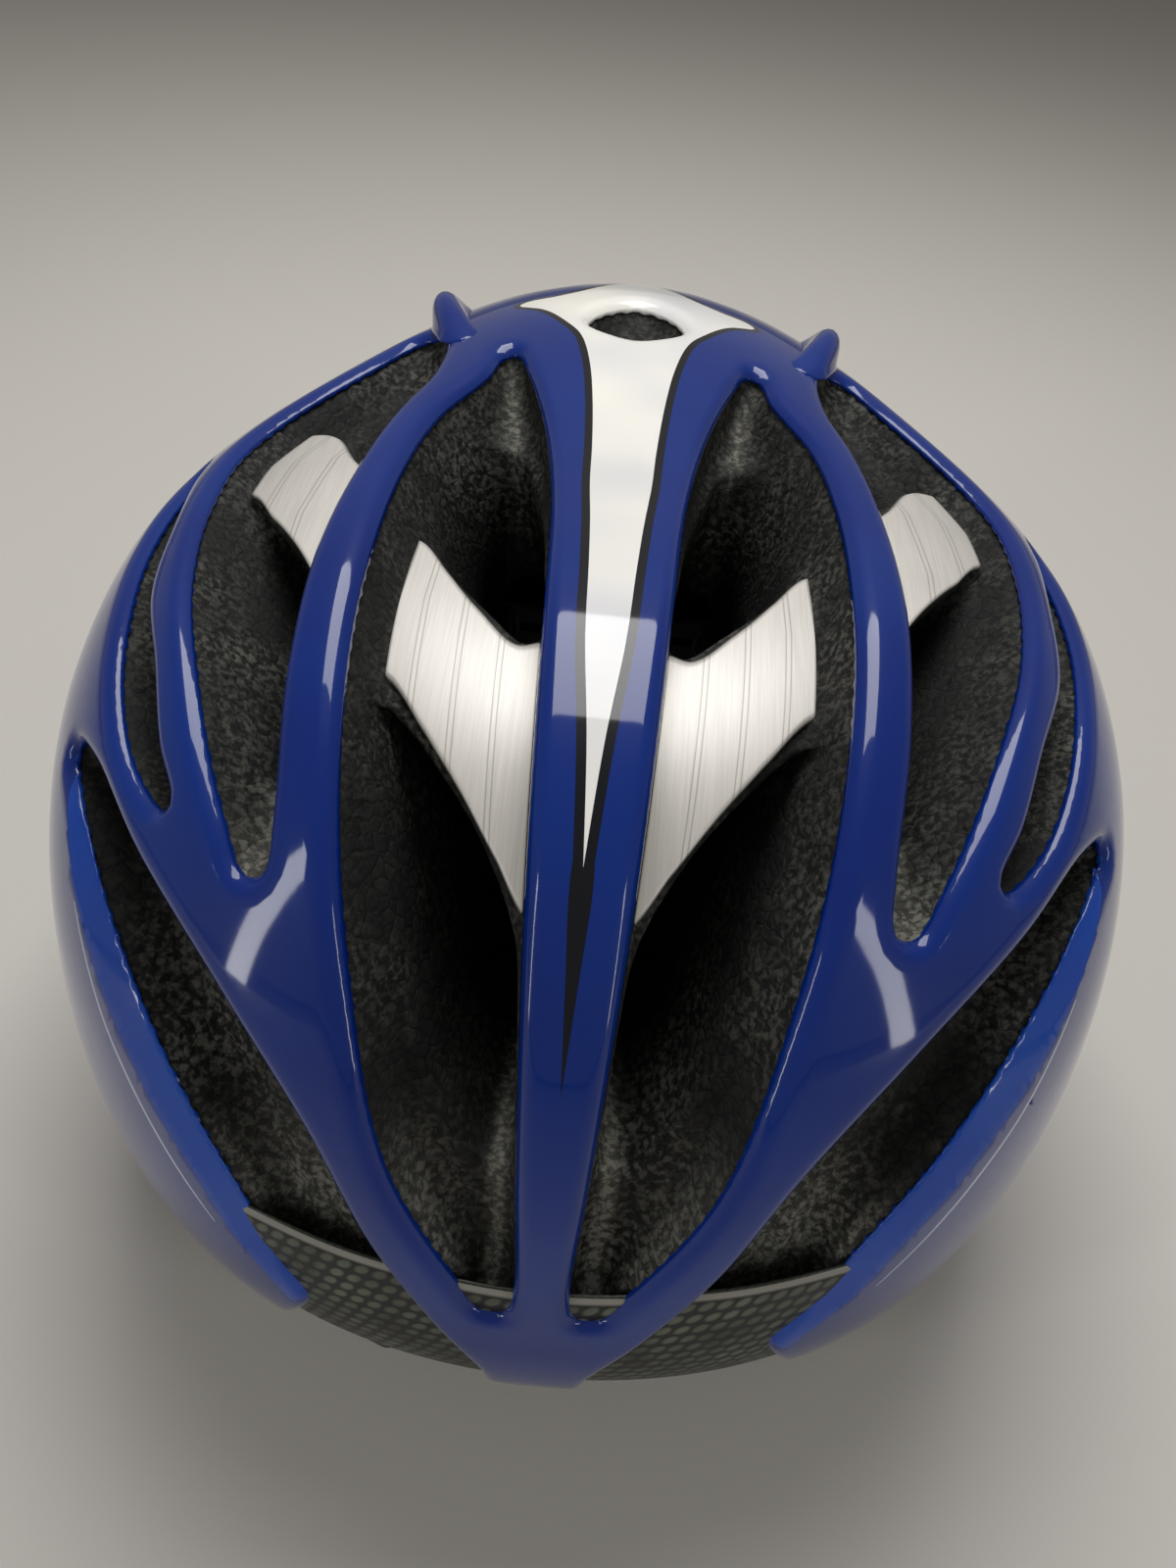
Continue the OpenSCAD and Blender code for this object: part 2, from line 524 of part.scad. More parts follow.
// ---- cradle, with the dial's housing in its middle ----
plate_t = 2;
plate_y = rack_y - belt_t / 2 - 0.9;             // inner face of the housing
channel_y = rack_y + rack_pitch_y + belt_t / 2 + 0.9;  // where the cover closes it
house_x = 13;
house_z = belt_h / 2 + 0.5;
house_wall = 1.6;
plate_r = 92.4;
wing = [34, 22];      // upper lobes: to the side and above the belt
heel = [27, -17];     // lower lobes
wing_r = 9;
heel_r = 8;
module cradle_outline() {
    for (s = [-1, 1]) {
        hull() {
            translate([0, 11]) circle(5, $fn = 32);
            translate([s * wing[0], wing[1]]) circle(wing_r, $fn = 32);
        }
        hull() {
            translate([0, -11]) circle(4.6, $fn = 32);
            translate([s * heel[0], heel[1]]) circle(heel_r, $fn = 32);
        }
    }
    square([2 * house_x, 2 * (house_z + house_wall)], center = true);
}
module cradle() {
    color([0.13, 0.13, 0.14])
    translate([0, 0, belt_z]) {
        intersection() {
            translate([0, plate_y - plate_r, -40]) difference() {
                cylinder(r = plate_r, h = 80, $fn = 120);
                translate([0, 0, -1]) cylinder(r = plate_r - plate_t, h = 82, $fn = 120);
            }
            translate([0, 120, 0]) rotate([90, 0, 0]) linear_extrude(80) difference() {
                cradle_outline();
                for (s = [-1, 1]) {
                    translate([s * 22, 20]) rotate(s * 12) square([9, 3], center = true);
                    translate([s * 18, -16]) rotate(-s * 6) square([8, 2.6], center = true);
                }
            }
        }
        // floor, roof and sides' lips of the housing
        translate([-house_x, plate_y - plate_t, -house_z - house_wall])
            cube([2 * house_x, plate_t, 2 * (house_z + house_wall)]);
        for (z = [-house_z - house_wall, house_z])
            translate([-house_x, plate_y - plate_t, z])
                cube([2 * house_x, channel_y - plate_y + plate_t, house_wall]);
    }
}

cover_t = 2;
shaft_r = 2;
module dial_cover() {
    color([0.16, 0.16, 0.17])
    translate([0, channel_y, belt_z]) difference() {
        rotate([-90, 0, 0]) intersection() {
            cylinder(r = 15, h = cover_t, $fn = 64);
            translate([-house_x, -house_z - house_wall, 0])
                cube([2 * house_x, 2 * (house_z + house_wall), cover_t]);
        }
        translate([0, -1, 0]) rotate([-90, 0, 0]) cylinder(r = shaft_r + run_gap, h = cover_t + 2, $fn = 48);
    }
}

knob_y = channel_y + cover_t + 0.4;
module dial_gear() {
    tip = pitch_r + 0.55;
    root = pitch_r - 0.8;
    w = tooth_p / 2 - rack_play;
    color("whitesmoke")
    translate([0, 0, belt_z]) {
        translate([0, plate_y + 0.4, 0]) rotate([-90, 0, 0]) linear_extrude(channel_y - plate_y - 0.8) {
            circle(root, $fn = 32);
            for (k = [0:teeth - 1]) rotate(360 * (k + 0.5) / teeth)
                polygon([[0, -w * 0.6], [root, -w * 0.6], [tip, -w * 0.3], [tip, w * 0.3], [root, w * 0.6], [0, w * 0.6]]);
        }
        translate([0, channel_y - 0.6, 0]) rotate([-90, 0, 0])
            cylinder(r = shaft_r, h = knob_y + dial_len - 2 - channel_y, $fn = 48);
    }
}
module dial_knob() {
    color([0.2, 0.2, 0.21])
    translate([0, knob_y, belt_z]) rotate([-90, 0, 0]) difference() {
        union() {
            cylinder(r = dial_r, h = dial_len - 1, $fn = 64);
            translate([0, 0, dial_len - 1]) cylinder(r1 = dial_r - 0.2, r2 = dial_r - 1.2, h = 1, $fn = 72);
        }
        for (k = [0:13]) rotate(360 * k / 14) translate([dial_r + 0.8, 0, -1])
            cylinder(r = 2.2, h = dial_len + 2, $fn = 24);
        translate([0, 0, -1]) cylinder(r = shaft_r + 0.02, h = dial_len, $fn = 48);
    }
}
module cradle_pad() {
    face_r = plate_r - plate_t;
    pad_r = wing_r - 1.5;
    seat_r = face_r - pow(pad_r, 2) / (2 * face_r) - seat_gap;
    color([0.18, 0.18, 0.19])
    translate([0, plate_y - plate_r, belt_z + wing[1]]) rotate([0, 0, -asin(wing[0] / face_r)])
        translate([0, seat_r, 0]) rotate([90, 0, 0]) {
            cylinder(r = pad_r, h = 2, $fn = 40);
            translate([0, 0, 2]) cylinder(r1 = pad_r, r2 = pad_r - 1.4, h = 1.2, $fn = 40);
        }
}

// ---- harness: flat webbing that lies folded on the table under the foam ----
floor_z = 0.3 + web_t / 2;
// Flat strip along a path, its width level and across the path
module webbing(path, sub = 3) {
    n = (len(path) - 1) * sub;
    pts = [for (i = [0:n]) curve(path, i / sub)];
    rings = [for (i = [0:n])
        let (d = pts[min(n, i + 1)] - pts[max(0, i - 1)], e = d / norm(d),
             side = [-e[1], e[0], 0] / norm([e[0], e[1]]), up = cross(e, side))
        [for (c = [[-1, -1], [1, -1], [1, 1], [-1, 1]])
            pts[i] + side * (c[0] * web_w / 2) + up * (c[1] * web_t / 2)]];
    function at(i, k) = i * 4 + k % 4;
    color([0.1, 0.1, 0.1])
    polyhedron([for (r = rings) each r], [
        [at(0, 0), at(0, 1), at(0, 2)], [at(0, 0), at(0, 2), at(0, 3)],
        for (i = [0:n - 1], k = [0:3]) each [
            [at(i, k), at(i + 1, k), at(i + 1, k + 1)],
            [at(i, k), at(i + 1, k + 1), at(i, k + 1)]],
        [at(n, 0), at(n, 2), at(n, 1)], [at(n, 0), at(n, 3), at(n, 2)]], convexity = 6);
}

divider_at = [52, -28];
divider_r = 10;
module strap_anchors() {
    color([0.1, 0.1, 0.1])
    both_sides() for (a = STRAP_PLACES)
        translate(strap_foot(a) - [0, 0, strap_anchor_low])
            cylinder(r = strap_anchor_r, h = strap_anchor_h + strap_anchor_low, $fn = 40);
}
front_foot = strap_foot(STRAP_PLACES[0]);
rear_foot = strap_foot(STRAP_PLACES[1]);
strap_drop = strap_anchor_low + 0.4 + web_t / 2;
strap_end = divider_r - 5;
module front_strap() {
    webbing([front_foot + [0, 0, -strap_drop], front_foot + [-8, -2, -strap_drop - 2.3],
             front_foot + [-16, -5, floor_z + 1 - front_foot[2]], [70, -20, floor_z],
             [divider_at[0] + strap_end + 6, -26, floor_z]]);
}
module rear_strap() {
    webbing([rear_foot + [0, 0, -strap_drop], rear_foot + [-6, -6, -strap_drop - 2],
             rear_foot + [-11, -15, -10], [62, 26, floor_z], [56, 8, floor_z], [52, -6, floor_z],
             [divider_at[0] - 1, divider_at[1] + strap_end + 5, floor_z]]);
}
pocket_z = 0.3 + web_t + 0.4;
divider_h = 5.4;
ear_x = 8;
ear_t = 1.8;
lever_pin_r = 1.2;
lever_y = 7;
lever_z = divider_h + 2.1;
module divider() {
    color([0.12, 0.12, 0.12])
    translate([divider_at[0], divider_at[1], 0]) difference() {
        union() {
            translate([0, 0, 0.3]) hull() {
                for (q = [[8, 1], [-5, 7], [-5, -8]]) translate(q) cylinder(r = divider_r - 2, h = divider_h - 0.3, $fn = 32);
            }
            for (s = [-1, 1]) translate([s * (ear_x + ear_t / 2) - ear_t / 2, lever_y - 2.4, divider_h - 0.5])
                cube([ear_t, 4.8, 5]);
        }
        // open channels over the three straps
        translate([2, -9, -1]) cube([20, 20, pocket_z + 1]);
        translate([-10, 2, -1]) cube([19, 20, pocket_z + 1]);
        translate([-14, -20, -1]) cube([30, 16, pocket_z + 1]);
        translate([-12, lever_y, lever_z]) rotate([0, 90, 0]) cylinder(r = lever_pin_r + run_gap, h = 24, $fn = 32);
    }
}
module divider_lever() {
    color([0.2, 0.2, 0.2])
    translate([divider_at[0], divider_at[1], 0]) {
        translate([-ear_x + 0.3, -8, divider_h + 0.6]) cube([2 * ear_x - 0.6, lever_y + 8, 1.8]);
        translate([0, lever_y, lever_z]) rotate([0, 90, 0]) {
            cylinder(r = 1.7, h = 2 * ear_x - 0.6, center = true, $fn = 32);
            cylinder(r = lever_pin_r, h = 2 * (ear_x + ear_t), center = true, $fn = 32);
        }
    }
}

// Side-release buckle under the front rim; its own +X is the way the plug leaves
buckle_at = [-50, -103, 0.3];
buckle_turn = -20;
module at_buckle() {
    translate(buckle_at) rotate([0, 0, buckle_turn]) children();
}
function from_buckle(x) = [buckle_at[0] + x * cos(buckle_turn), buckle_at[1] + x * sin(buckle_turn)];
tongue_l = socket_len * 0.6;
bay_w = buckle_w - 6;
bay_h = buckle_t - 4;
module rounded_block(l, w, h, r) {
    linear_extrude(h) {
        square([l - 2 * r, w], center = true);
        square([l, w - 2 * r], center = true);
        for (x = [-1, 1], y = [-1, 1]) translate([x * (l / 2 - r), y * (w / 2 - r)]) circle(r, $fn = 32);
    }
}
module buckle_socket() {
    color([0.08, 0.08, 0.08])
    at_buckle() difference() {
        rounded_block(socket_len, buckle_w, buckle_t, 4);
        translate([socket_len / 2 - tongue_l - 1, -bay_w / 2, (buckle_t - bay_h) / 2]) cube([tongue_l + 3, bay_w, bay_h]);
        // side windows for the prongs
        for (s = [-1, 1]) translate([socket_len / 2 - 11, s * buckle_w / 2 - 4, (buckle_t - bay_h) / 2])
            cube([7, 8, bay_h]);
        // pocket for the strap
        translate([-socket_len / 2 - 1, -web_w / 2 - 0.4, buckle_t / 2 - web_t]) cube([5, web_w + 0.8, 2 * web_t]);
    }
}
plug_head = 12;
plug_travel = 18;
module buckle_plug() {
    color([0.1, 0.1, 0.1])
    at_buckle() translate([socket_len / 2 + 0.3, 0, 0]) {
        difference() {
            translate([plug_head / 2, 0, 0]) rounded_block(plug_head, buckle_w, buckle_t, 3);
            translate([plug_head - 4, -web_w / 2 - 0.4, buckle_t / 2 - web_t]) cube([6, web_w + 0.8, 2 * web_t]);
        }
        for (y = [-bay_w / 2 + 0.5, -2, bay_w / 2 - 3.5])
            translate([-tongue_l + 1, y, (buckle_t - bay_h) / 2 + 0.5]) cube([tongue_l, y == -2 ? 4 : 3, bay_h - 1]);
    }
}
strap_up = buckle_at[2] + buckle_t / 2;
function lifted(p, z) = [p[0], p[1], z];
module chin_strap_right() {
    webbing([lifted(from_buckle(-socket_len / 2 + 3.6), strap_up), lifted(from_buckle(-socket_len / 2 - 1.5), strap_up),
             lifted(from_buckle(-socket_len / 2 - 7), strap_up - 1), [-69, -88, floor_z + 0.6], [-61, -76, floor_z],
             [-55, -60, floor_z], [-divider_at[0] - 2, -46, floor_z],
             [-divider_at[0] + 1, divider_at[1] - strap_end - 2, floor_z]], 2);
}
module chin_strap_left() {
    out = socket_len / 2 + 0.3 + plug_head;
    webbing([lifted(from_buckle(out - 3.6), strap_up), lifted(from_buckle(out + 1.5), strap_up),
             lifted(from_buckle(out + 7), strap_up - 0.8), [-12, -116, 2.2], [-2, -117, floor_z], [9, -114, floor_z], [20, -108, floor_z],
             [keeper_at[0] - 8, keeper_at[1] - 14, floor_z], [keeper_at[0], keeper_at[1], floor_z],
             [keeper_at[0] + 8, keeper_at[1] + 14, floor_z], [48, -56, floor_z],
             [divider_at[0] - 2, divider_at[1] - strap_end - 2, floor_z]]);
}
keeper_at = [36, -86];
keeper_turn = atan2(14, 8);
module strap_keeper() {
    h = web_t + 2.6;
    color([0.07, 0.07, 0.07])
    translate([keeper_at[0], keeper_at[1], 0.05]) rotate([0, 0, keeper_turn]) difference() {
        translate([-3, -web_w / 2 - 1.8, 0]) cube([6, web_w + 3.6, h]);
        translate([-4, -web_w / 2 - 0.5, 0.15]) cube([8, web_w + 1, web_t + 0.5]);
    }
}

upper_shell();
lower_shell();
eps_liner();
bridge_skin(INNER_VENT, INNER_BRIDGE);  // bridge_skin_inner_left
mirror([1, 0, 0]) bridge_skin(INNER_VENT, INNER_BRIDGE);  // bridge_skin_inner_right
bridge_skin(OUTER_VENT, OUTER_BRIDGE);  // bridge_skin_outer_left
mirror([1, 0, 0]) bridge_skin(OUTER_VENT, OUTER_BRIDGE);  // bridge_skin_outer_right
front_pad();
pad(30, 39, -35, 15, 8, 4);  // crown_pad_left
mirror([1, 0, 0]) pad(30, 39, -35, 15, 8, 4);  // crown_pad_right
pad(66, 82, -14, 18, 5, 4);  // side_pad_left
mirror([1, 0, 0]) pad(66, 82, -14, 18, 5, 4);  // side_pad_right
temple_anchor();  // temple_anchor_left
mirror([1, 0, 0]) temple_anchor();  // temple_anchor_right
temple_cap();  // temple_cap_left
mirror([1, 0, 0]) temple_cap();  // temple_cap_right
temple_swivel();  // temple_swivel_left
mirror([1, 0, 0]) temple_swivel();  // temple_swivel_right
belt_arm(0, 1);  // belt_arm_left
mirror([1, 0, 0]) belt_arm(rack_pitch_y, -1);  // belt_arm_right
cradle();
dial_cover();
dial_knob();
dial_gear();
cradle_pad();  // cradle_pad_left
mirror([1, 0, 0]) cradle_pad();  // cradle_pad_right
strap_anchors();
front_strap();  // front_strap_left
mirror([1, 0, 0]) front_strap();  // front_strap_right
rear_strap();  // rear_strap_left
mirror([1, 0, 0]) rear_strap();  // rear_strap_right
divider();  // divider_left
mirror([1, 0, 0]) divider();  // divider_right
divider_lever();  // divider_lever_left
mirror([1, 0, 0]) divider_lever();  // divider_lever_right
chin_strap_left();
chin_strap_right();
buckle_socket();
buckle_plug();
strap_keeper();
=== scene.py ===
# %% [markdown]
# # A road cycling helmet
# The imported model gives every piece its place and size. This script dresses it:
# a painted shell with rolled vent edges, foam with moulded beads, bright bridge
# skins, pads, webbing and moulded fittings. Everything is in the frame's metres,
# but the shell's own sizes are in millimetres, because a maker thinks in them.

# %% Tools and the frame
import math

import bmesh
import bpy
import numpy as np
from mathutils import Matrix, Vector
from mathutils.geometry import delaunay_2d_cdt
from mathutils.kdtree import KDTree


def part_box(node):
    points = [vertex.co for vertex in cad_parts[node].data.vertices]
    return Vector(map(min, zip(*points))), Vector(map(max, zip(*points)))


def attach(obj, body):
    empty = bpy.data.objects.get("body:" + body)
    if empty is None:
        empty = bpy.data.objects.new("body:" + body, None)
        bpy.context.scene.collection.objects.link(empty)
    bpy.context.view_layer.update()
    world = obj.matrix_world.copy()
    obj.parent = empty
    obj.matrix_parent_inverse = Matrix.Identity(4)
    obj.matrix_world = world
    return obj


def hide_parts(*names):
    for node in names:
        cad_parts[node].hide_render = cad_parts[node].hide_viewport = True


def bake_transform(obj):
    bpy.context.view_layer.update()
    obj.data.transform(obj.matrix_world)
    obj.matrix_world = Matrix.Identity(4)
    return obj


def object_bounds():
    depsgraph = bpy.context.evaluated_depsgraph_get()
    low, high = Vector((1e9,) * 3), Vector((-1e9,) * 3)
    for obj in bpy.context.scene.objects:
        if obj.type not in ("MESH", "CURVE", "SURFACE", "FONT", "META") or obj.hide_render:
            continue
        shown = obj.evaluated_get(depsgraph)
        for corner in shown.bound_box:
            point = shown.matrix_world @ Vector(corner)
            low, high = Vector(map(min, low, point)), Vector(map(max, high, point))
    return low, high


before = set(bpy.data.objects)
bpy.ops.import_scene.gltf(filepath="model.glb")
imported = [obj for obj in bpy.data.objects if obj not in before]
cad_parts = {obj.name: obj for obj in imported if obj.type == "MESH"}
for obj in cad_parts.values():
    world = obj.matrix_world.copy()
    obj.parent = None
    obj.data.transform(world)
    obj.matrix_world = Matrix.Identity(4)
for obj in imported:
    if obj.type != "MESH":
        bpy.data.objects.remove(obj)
CAD_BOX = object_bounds()
MM = 0.001
print("pieces in the frame:", len(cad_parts))

# %% [markdown]
# ## The camera, the light and the floor
# The helmet stands on its rim and is seen from the front, from above and close by,
# so the lens is wide and the nose looks large. The camera leans a little to one side.
# One soft lamp overhead, a broad fill in front and two narrow strips at the sides give
# the long, quiet reflections that show a glossy shell's shape. The plain floor and the
# world look pale, but light the helmet only a little, so that its colours stay deep.

# %% Camera
CAMERA_AT = Vector((0.0, -0.2308, 0.2735))
CAMERA_DOWN = math.radians(43.09)
CAMERA_ROLL = math.radians(5.6)
SENSOR = 36.0
LENS_SHARE = 0.787125      # focal length as a share of the frame's long side
SHIFT_SHARE = -0.0021875

camera_data = bpy.data.cameras.new("camera")
camera_data.sensor_width = SENSOR
camera_data.sensor_fit = "AUTO"
camera_data.lens = SENSOR * LENS_SHARE
camera_data.shift_x = SHIFT_SHARE
camera_data.clip_start = 0.01
camera = bpy.data.objects.new("camera", camera_data)
tilt = Matrix.Rotation(math.pi / 2 - CAMERA_DOWN, 4, "X") @ Matrix.Rotation(CAMERA_ROLL, 4, "Z")
camera.matrix_world = Matrix.Translation(CAMERA_AT) @ tilt
bpy.context.collection.objects.link(camera)
bpy.context.scene.camera = camera
print("lens, mm:", round(camera_data.lens, 1))

# %% Colours and the one node helper
def srgb(hex_colour):
    """Linear RGBA of a #rrggbb colour."""
    values = [int(hex_colour[i:i + 2], 16) / 255 for i in (1, 3, 5)]
    linear = [v / 12.92 if v <= 0.04045 else ((v + 0.055) / 1.055) ** 2.4 for v in values]
    return (*linear, 1.0)


def set_up(tree, made, links=(), **settings):
    """Settings are a node's properties, its inputs when named in_X, or the stops of its ramp."""
    for key, value in settings.items():
        if key == "ramp":
            stops = made.color_ramp.elements
            while len(stops) < len(value):
                stops.new(1.0)
            for stop, (place, colour) in zip(stops, value):
                stop.position, stop.color = place, srgb(colour)
        elif key.startswith("in_"):
            name = key[3:]
            made.inputs[int(name) if name.isdigit() else name.replace("_", " ")].default_value = value
        else:
            setattr(made, key, value)
    for socket, source in links:
        tree.links.new(source, made.inputs[socket])
    return made


def node(tree, kind, links=(), **settings):
    """Adds a node with its settings and its links, each an (input, source socket) pair."""
    return set_up(tree, tree.nodes.new(kind), links, **settings)


def new_material(name):
    """A material with a bare Principled shader: (material, tree, shader)."""
    material = bpy.data.materials.new(name)
    material.use_nodes = True
    tree = material.node_tree
    return material, tree, tree.nodes["Principled BSDF"]


print("white in linear light:", srgb("#ffffff")[:3])

# %% Light and floor
def soft_lamp(name, place, target, size, power):
    """A rectangular lamp that faces its target."""
    data = bpy.data.lights.new(name, "AREA")
    data.shape = "RECTANGLE"
    data.size, data.size_y = size
    data.energy = power
    lamp = bpy.data.objects.new(name, data)
    aim = (Vector(target) - Vector(place)).to_track_quat("-Z", "Y")
    lamp.matrix_world = Matrix.Translation(place) @ aim.to_matrix().to_4x4()
    bpy.context.collection.objects.link(lamp)
    return lamp


STRIP_X, STRIP_SIZE = 0.98, (0.1, 1.0)
soft_lamp("overhead softbox", (0.0, 0.27, 0.86), (0, 0, 0.1), (0.55, 0.45), 6.5)
fill = soft_lamp("front fill", (0.0, -1.7, 1.1), (0, 0, 0.05), (2.4, 1.2), 9)
fill.visible_glossy = False
for lamp_side, power in ((-1, 3.4), (1, 2.8)):
    soft_lamp("strip softbox", (STRIP_X * lamp_side, -0.72, 0.34), (0, -0.05, 0.08), STRIP_SIZE, power)

AMBIENT, SEEN = 0.17, 0.42    # the world's strength as a light, and as a background
world = bpy.data.worlds.new("studio")
world.use_nodes = True
bpy.context.scene.world = world
sky = world.node_tree
path = node(sky, "ShaderNodeLightPath").outputs
direct = node(sky, "ShaderNodeMath", [(0, path["Is Camera Ray"]), (1, path["Is Glossy Ray"])],
              operation="ADD")
shown = node(sky, "ShaderNodeMath", [(0, direct.outputs[0]), (1, path["Is Transmission Ray"])],
             operation="ADD", use_clamp=True)
strength = node(sky, "ShaderNodeMath", [(0, shown.outputs[0])],
                operation="MULTIPLY_ADD", in_1=SEEN - AMBIENT, in_2=AMBIENT)
set_up(sky, sky.nodes["Background"], [("Strength", strength.outputs[0])], in_Color=srgb("#d4d0c9"))
bpy.context.scene.view_settings.view_transform = "Standard"

FLOOR_HALF, FLOOR_GAP = 3.0, 0.0003
floor_mesh = bpy.data.meshes.new("floor")
floor_corners = [(x * FLOOR_HALF, y * FLOOR_HALF, 0) for x, y in ((-1, -1), (1, -1), (1, 1), (-1, 1))]
floor_mesh.from_pydata(floor_corners, [], [(0, 1, 2, 3)])
floor = bpy.data.objects.new("floor", floor_mesh)
floor.location.z = CAD_BOX[0][2] - FLOOR_GAP
bpy.context.collection.objects.link(floor)
floor_material, floor_tree, floor_shader = new_material("pale studio floor")
set_up(floor_tree, floor_shader, in_Base_Color=srgb("#c4c0b9"), in_Roughness=0.85)
floor_mesh.materials.append(floor_material)
print("lamps:", len(bpy.data.lights), "floor at", round(floor.location.z / MM, 1), "mm")

# %% [markdown]
# ## The envelope
# A helmet shell is drawn as one smooth egg, and vents are cut into it afterwards.
# The egg is given in polar form round a point inside the head: two angles and a
# depth under the surface. Flattening it like a map of the pole, with u degrees to
# the wearer's left and v degrees to the rear, turns every vent into a flat outline.

# %% The egg and its flat map
HALF_WIDTH, CROWN, CHIN, EQUATOR = 112, 96, 77, 66      # reach to the side, up and down; centre's height
FRONT_REACH, REAR_REACH = 118, 170
SHOULDER, REAR_TAPER, LOWER_FULLNESS = 0.14, 0.06, 60   # how far the egg leaves an ellipsoid
CENTRE = np.array([0.0, -(REAR_REACH - FRONT_REACH) / 2, EQUATOR])
HEAD_WIDTH, HEAD_LENGTH, HEAD_FOOT, HEAD_TOP = 82, 110, 40, 130


def direction(rho, phi):
    return np.stack([np.sin(rho) * np.sin(phi), -np.sin(rho) * np.cos(phi), np.cos(rho)], -1)


def envelope(rho, phi):
    """Distance from the centre to the shell's surface, angles in radians."""
    way = direction(rho, phi)
    length = (FRONT_REACH + REAR_REACH) / 2 + (FRONT_REACH - REAR_REACH) / 2 * np.cos(phi)
    height = (CROWN + CHIN) / 2 + (CROWN - CHIN) / 2 * way[..., 2]
    height += LOWER_FULLNESS * np.maximum(0, -way[..., 2]) * (1 - np.maximum(0, np.cos(phi)) ** 2)
    size = np.stack([np.full_like(length, HALF_WIDTH), length, height], -1)
    base = 1 / np.linalg.norm(way / size, axis=-1)
    behind = (np.cos(phi) < 0) * (np.sin(rho) * np.sin(2 * phi)) ** 2
    return base * (1 + SHOULDER * np.sin(2 * rho) ** 2) * (1 - REAR_TAPER * behind)


def head_distance(rho, phi):
    """Distance from the centre to the head space's wall, by bisection."""
    way = direction(rho, phi)
    near, far = np.full(rho.shape, 10.0), np.full(rho.shape, 160.0)
    for _ in range(30):
        middle = (near + far) / 2
        p = CENTRE + way * middle[..., None]
        rise = np.maximum(0, p[..., 2] - HEAD_FOOT) / (HEAD_TOP - HEAD_FOOT)
        inside = (p[..., 0] / HEAD_WIDTH) ** 2 + (p[..., 1] / HEAD_LENGTH) ** 2 + rise ** 2 < 1
        near, far = np.where(inside, middle, near), np.where(inside, far, middle)
    return near


def angles(uv):
    """Polar angle and heading of places on the flat map, in radians."""
    uv = np.asarray(uv, float)
    return np.radians(np.hypot(uv[..., 0], uv[..., 1])), np.arctan2(uv[..., 0], -uv[..., 1])


def on_shell(uv, depth):
    """Solid points in millimetres, a depth under the egg's surface."""
    rho, phi = angles(uv)
    return CENTRE + direction(rho, phi) * (envelope(rho, phi) - depth)[..., None]


def at_surface(uv):
    """Solid points on the egg itself."""
    return on_shell(uv, np.zeros(len(uv)))


print("crown, mm:", on_shell([[0.0, 0.0]], np.zeros(1))[0].round(1))

# %% Rim and lower edge
# Heights every 15 degrees round the helmet, from the nose to the nape.
RIM_Z = [20, 19, 16, 8, 0, 0, 5, 13, 14, 7, 0, 0, 0]
LOWER_TOP_Z = [77, 77, 73, 52, 30, 20, 22, 30, 32, 27, 20, 20, 22]


def smooth_list(values, x):
    """Catmull-Rom curve through a list of numbers or points, at x from 0 to len - 1."""
    p = np.asarray(values, float)
    i = np.clip(np.floor(x).astype(int), 0, len(p) - 2)
    f = np.asarray(x) - i
    f = f[:, None] if p.ndim > 1 else f
    a, b, c, d = p[np.maximum(i - 1, 0)], p[i], p[i + 1], p[np.minimum(i + 2, len(p) - 1)]
    bend, twist = 2 * a - 5 * b + 4 * c - d, 3 * b - a - 3 * c + d
    return 0.5 * (2 * b + (c - a) * f + bend * f * f + twist * f ** 3)


def height_round(table, phi):
    return np.maximum(0, smooth_list(table, np.degrees(np.abs(phi)) / 15))


def angle_at_height(z, phi):
    """Polar angle at which the envelope reaches a height, by bisection."""
    low, high = np.full(phi.shape, math.radians(60)), np.full(phi.shape, math.radians(150))
    for _ in range(26):
        middle = (low + high) / 2
        above = EQUATOR + envelope(middle, phi) * np.cos(middle) > z
        low, high = np.where(above, middle, low), np.where(above, high, middle)
    return low


def band_angle(at, phi):
    """Polar angle on the lower strip: 1 at its top edge, 2 at the rim."""
    top = angle_at_height(height_round(LOWER_TOP_Z, phi), phi)
    rim = angle_at_height(height_round(RIM_Z, phi), phi)
    return top + (at - 1) * (rim - top)


def map_point(rho, phi):
    return np.stack([np.degrees(rho) * np.sin(phi), -np.degrees(rho) * np.cos(phi)], -1)


def rim_loop(at, steps=360):
    """Closed loop on the flat map that runs round the helmet."""
    phi = -math.pi + 2 * math.pi * np.arange(steps) / steps
    return map_point(band_angle(at, phi), phi)


print("rim height at nose, side and nape, mm:", RIM_Z[0], RIM_Z[6], RIM_Z[-1])

# %% [markdown]
# ## The vents
# Each vent is a list of right and left edge points on the flat map, front to rear.
# A smooth closed loop runs through them. The same loops shape the shell's rolled
# edges and the channels in the foam, so that the two always meet.

